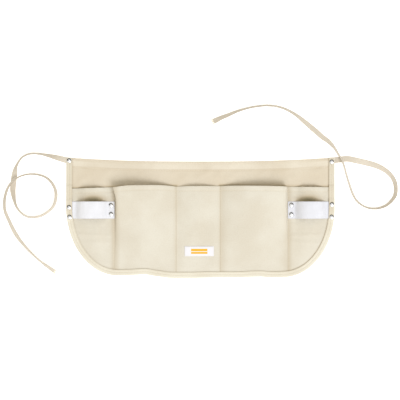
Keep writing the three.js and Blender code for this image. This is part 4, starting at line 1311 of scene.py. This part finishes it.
studio = {
    "floorSize": 12.0,
    "floorLevel": -0.4 * mm,
    "keyFrom": (1.8, -2.85, 4.4),
    "keySize": 2.9,
    "keyPower": 186.0,
    "keyColour": (0.97, 1.0, 1.09),
    "worldStrength": 0.83,
    "worldColour": (1.0, 0.955, 0.85, 1),
    "mirrorSky": (1.2, 1.2, 1.2, 1),
    "mirrorHeading": (-0.06, 0.95),
    "mirrorEdge": (-0.25, 0.1),
    "mirrorTop": (0.76, 0.92),
    "mirrorDark": (0.015, 0.012, 0.006, 1),
    "floorGlow": 0.5,
}


# White paper that glows a little, so it comes out as white as the photograph's ground.
def makeFloor():
    half, level = studio["floorSize"] / 2, studio["floorLevel"]
    corners = np.array([(x * half, y * half, level) for x, y in ((-1, -1), (1, -1), (1, 1), (-1, 1))])
    floor = meshObject("floor", corners, [[0, 1, 2, 3]], smooth=False)
    material, tree, shader = newMaterial("floorPaper", roughness=0.9)
    grain = ramp(tree, noise(tree, objectPlace(tree), 3, 2), 0.3, 0.7)
    colour = mixColour(tree, grain, (0.95, 0.95, 0.95, 1), (0.93, 0.93, 0.93, 1))
    tree.links.new(colour, shader.inputs["Base Color"])
    shader.inputs["Emission Color"].default_value = (1, 1, 1, 1)
    shader.inputs["Emission Strength"].default_value = studio["floorGlow"]
    floor.data.materials.append(material)


# One big soft lamp that looks at the apron's middle.
def makeLights():
    lamp = bpy.data.lights.new("key", "AREA")
    lamp.size, lamp.energy, lamp.color = studio["keySize"], studio["keyPower"], studio["keyColour"]
    key = bpy.data.objects.new("key", lamp)
    bpy.context.scene.collection.objects.link(key)
    key.location = studio["keyFrom"]
    key.rotation_euler = (-Vector(studio["keyFrom"])).to_track_quat("-Z", "Y").to_euler()


# A pale warm room. Shiny things mirror a brighter one with a dark wall behind the waist.
def makeWorld():
    world = bpy.data.worlds.new("studio")
    bpy.context.scene.world = world
    world.use_nodes = True
    tree = world.node_tree
    background = tree.nodes["Background"]
    place = tree.nodes.new("ShaderNodeTexCoord").outputs["Generated"]
    x, y, z = axes(tree, place)
    heading = studio["mirrorHeading"]
    towards = plus(tree, times(tree, y, heading[1]), times(tree, x, heading[0]))
    low = minus(tree, 1.0, ramp(tree, z, *studio["mirrorTop"]))
    dark = times(tree, ramp(tree, towards, *studio["mirrorEdge"]), low)
    mirrored = mixColour(tree, dark, studio["mirrorSky"], studio["mirrorDark"])
    glossy = tree.nodes.new("ShaderNodeLightPath").outputs["Is Glossy Ray"]
    tree.links.new(mixColour(tree, glossy, studio["worldColour"], mirrored), background.inputs["Color"])
    background.inputs["Strength"].default_value = studio["worldStrength"]


makeFloor()
makeLights()
makeWorld()
scene = bpy.context.scene
scene.view_settings.view_transform = "Standard"
scene.view_settings.look = "None"
print("studio made")
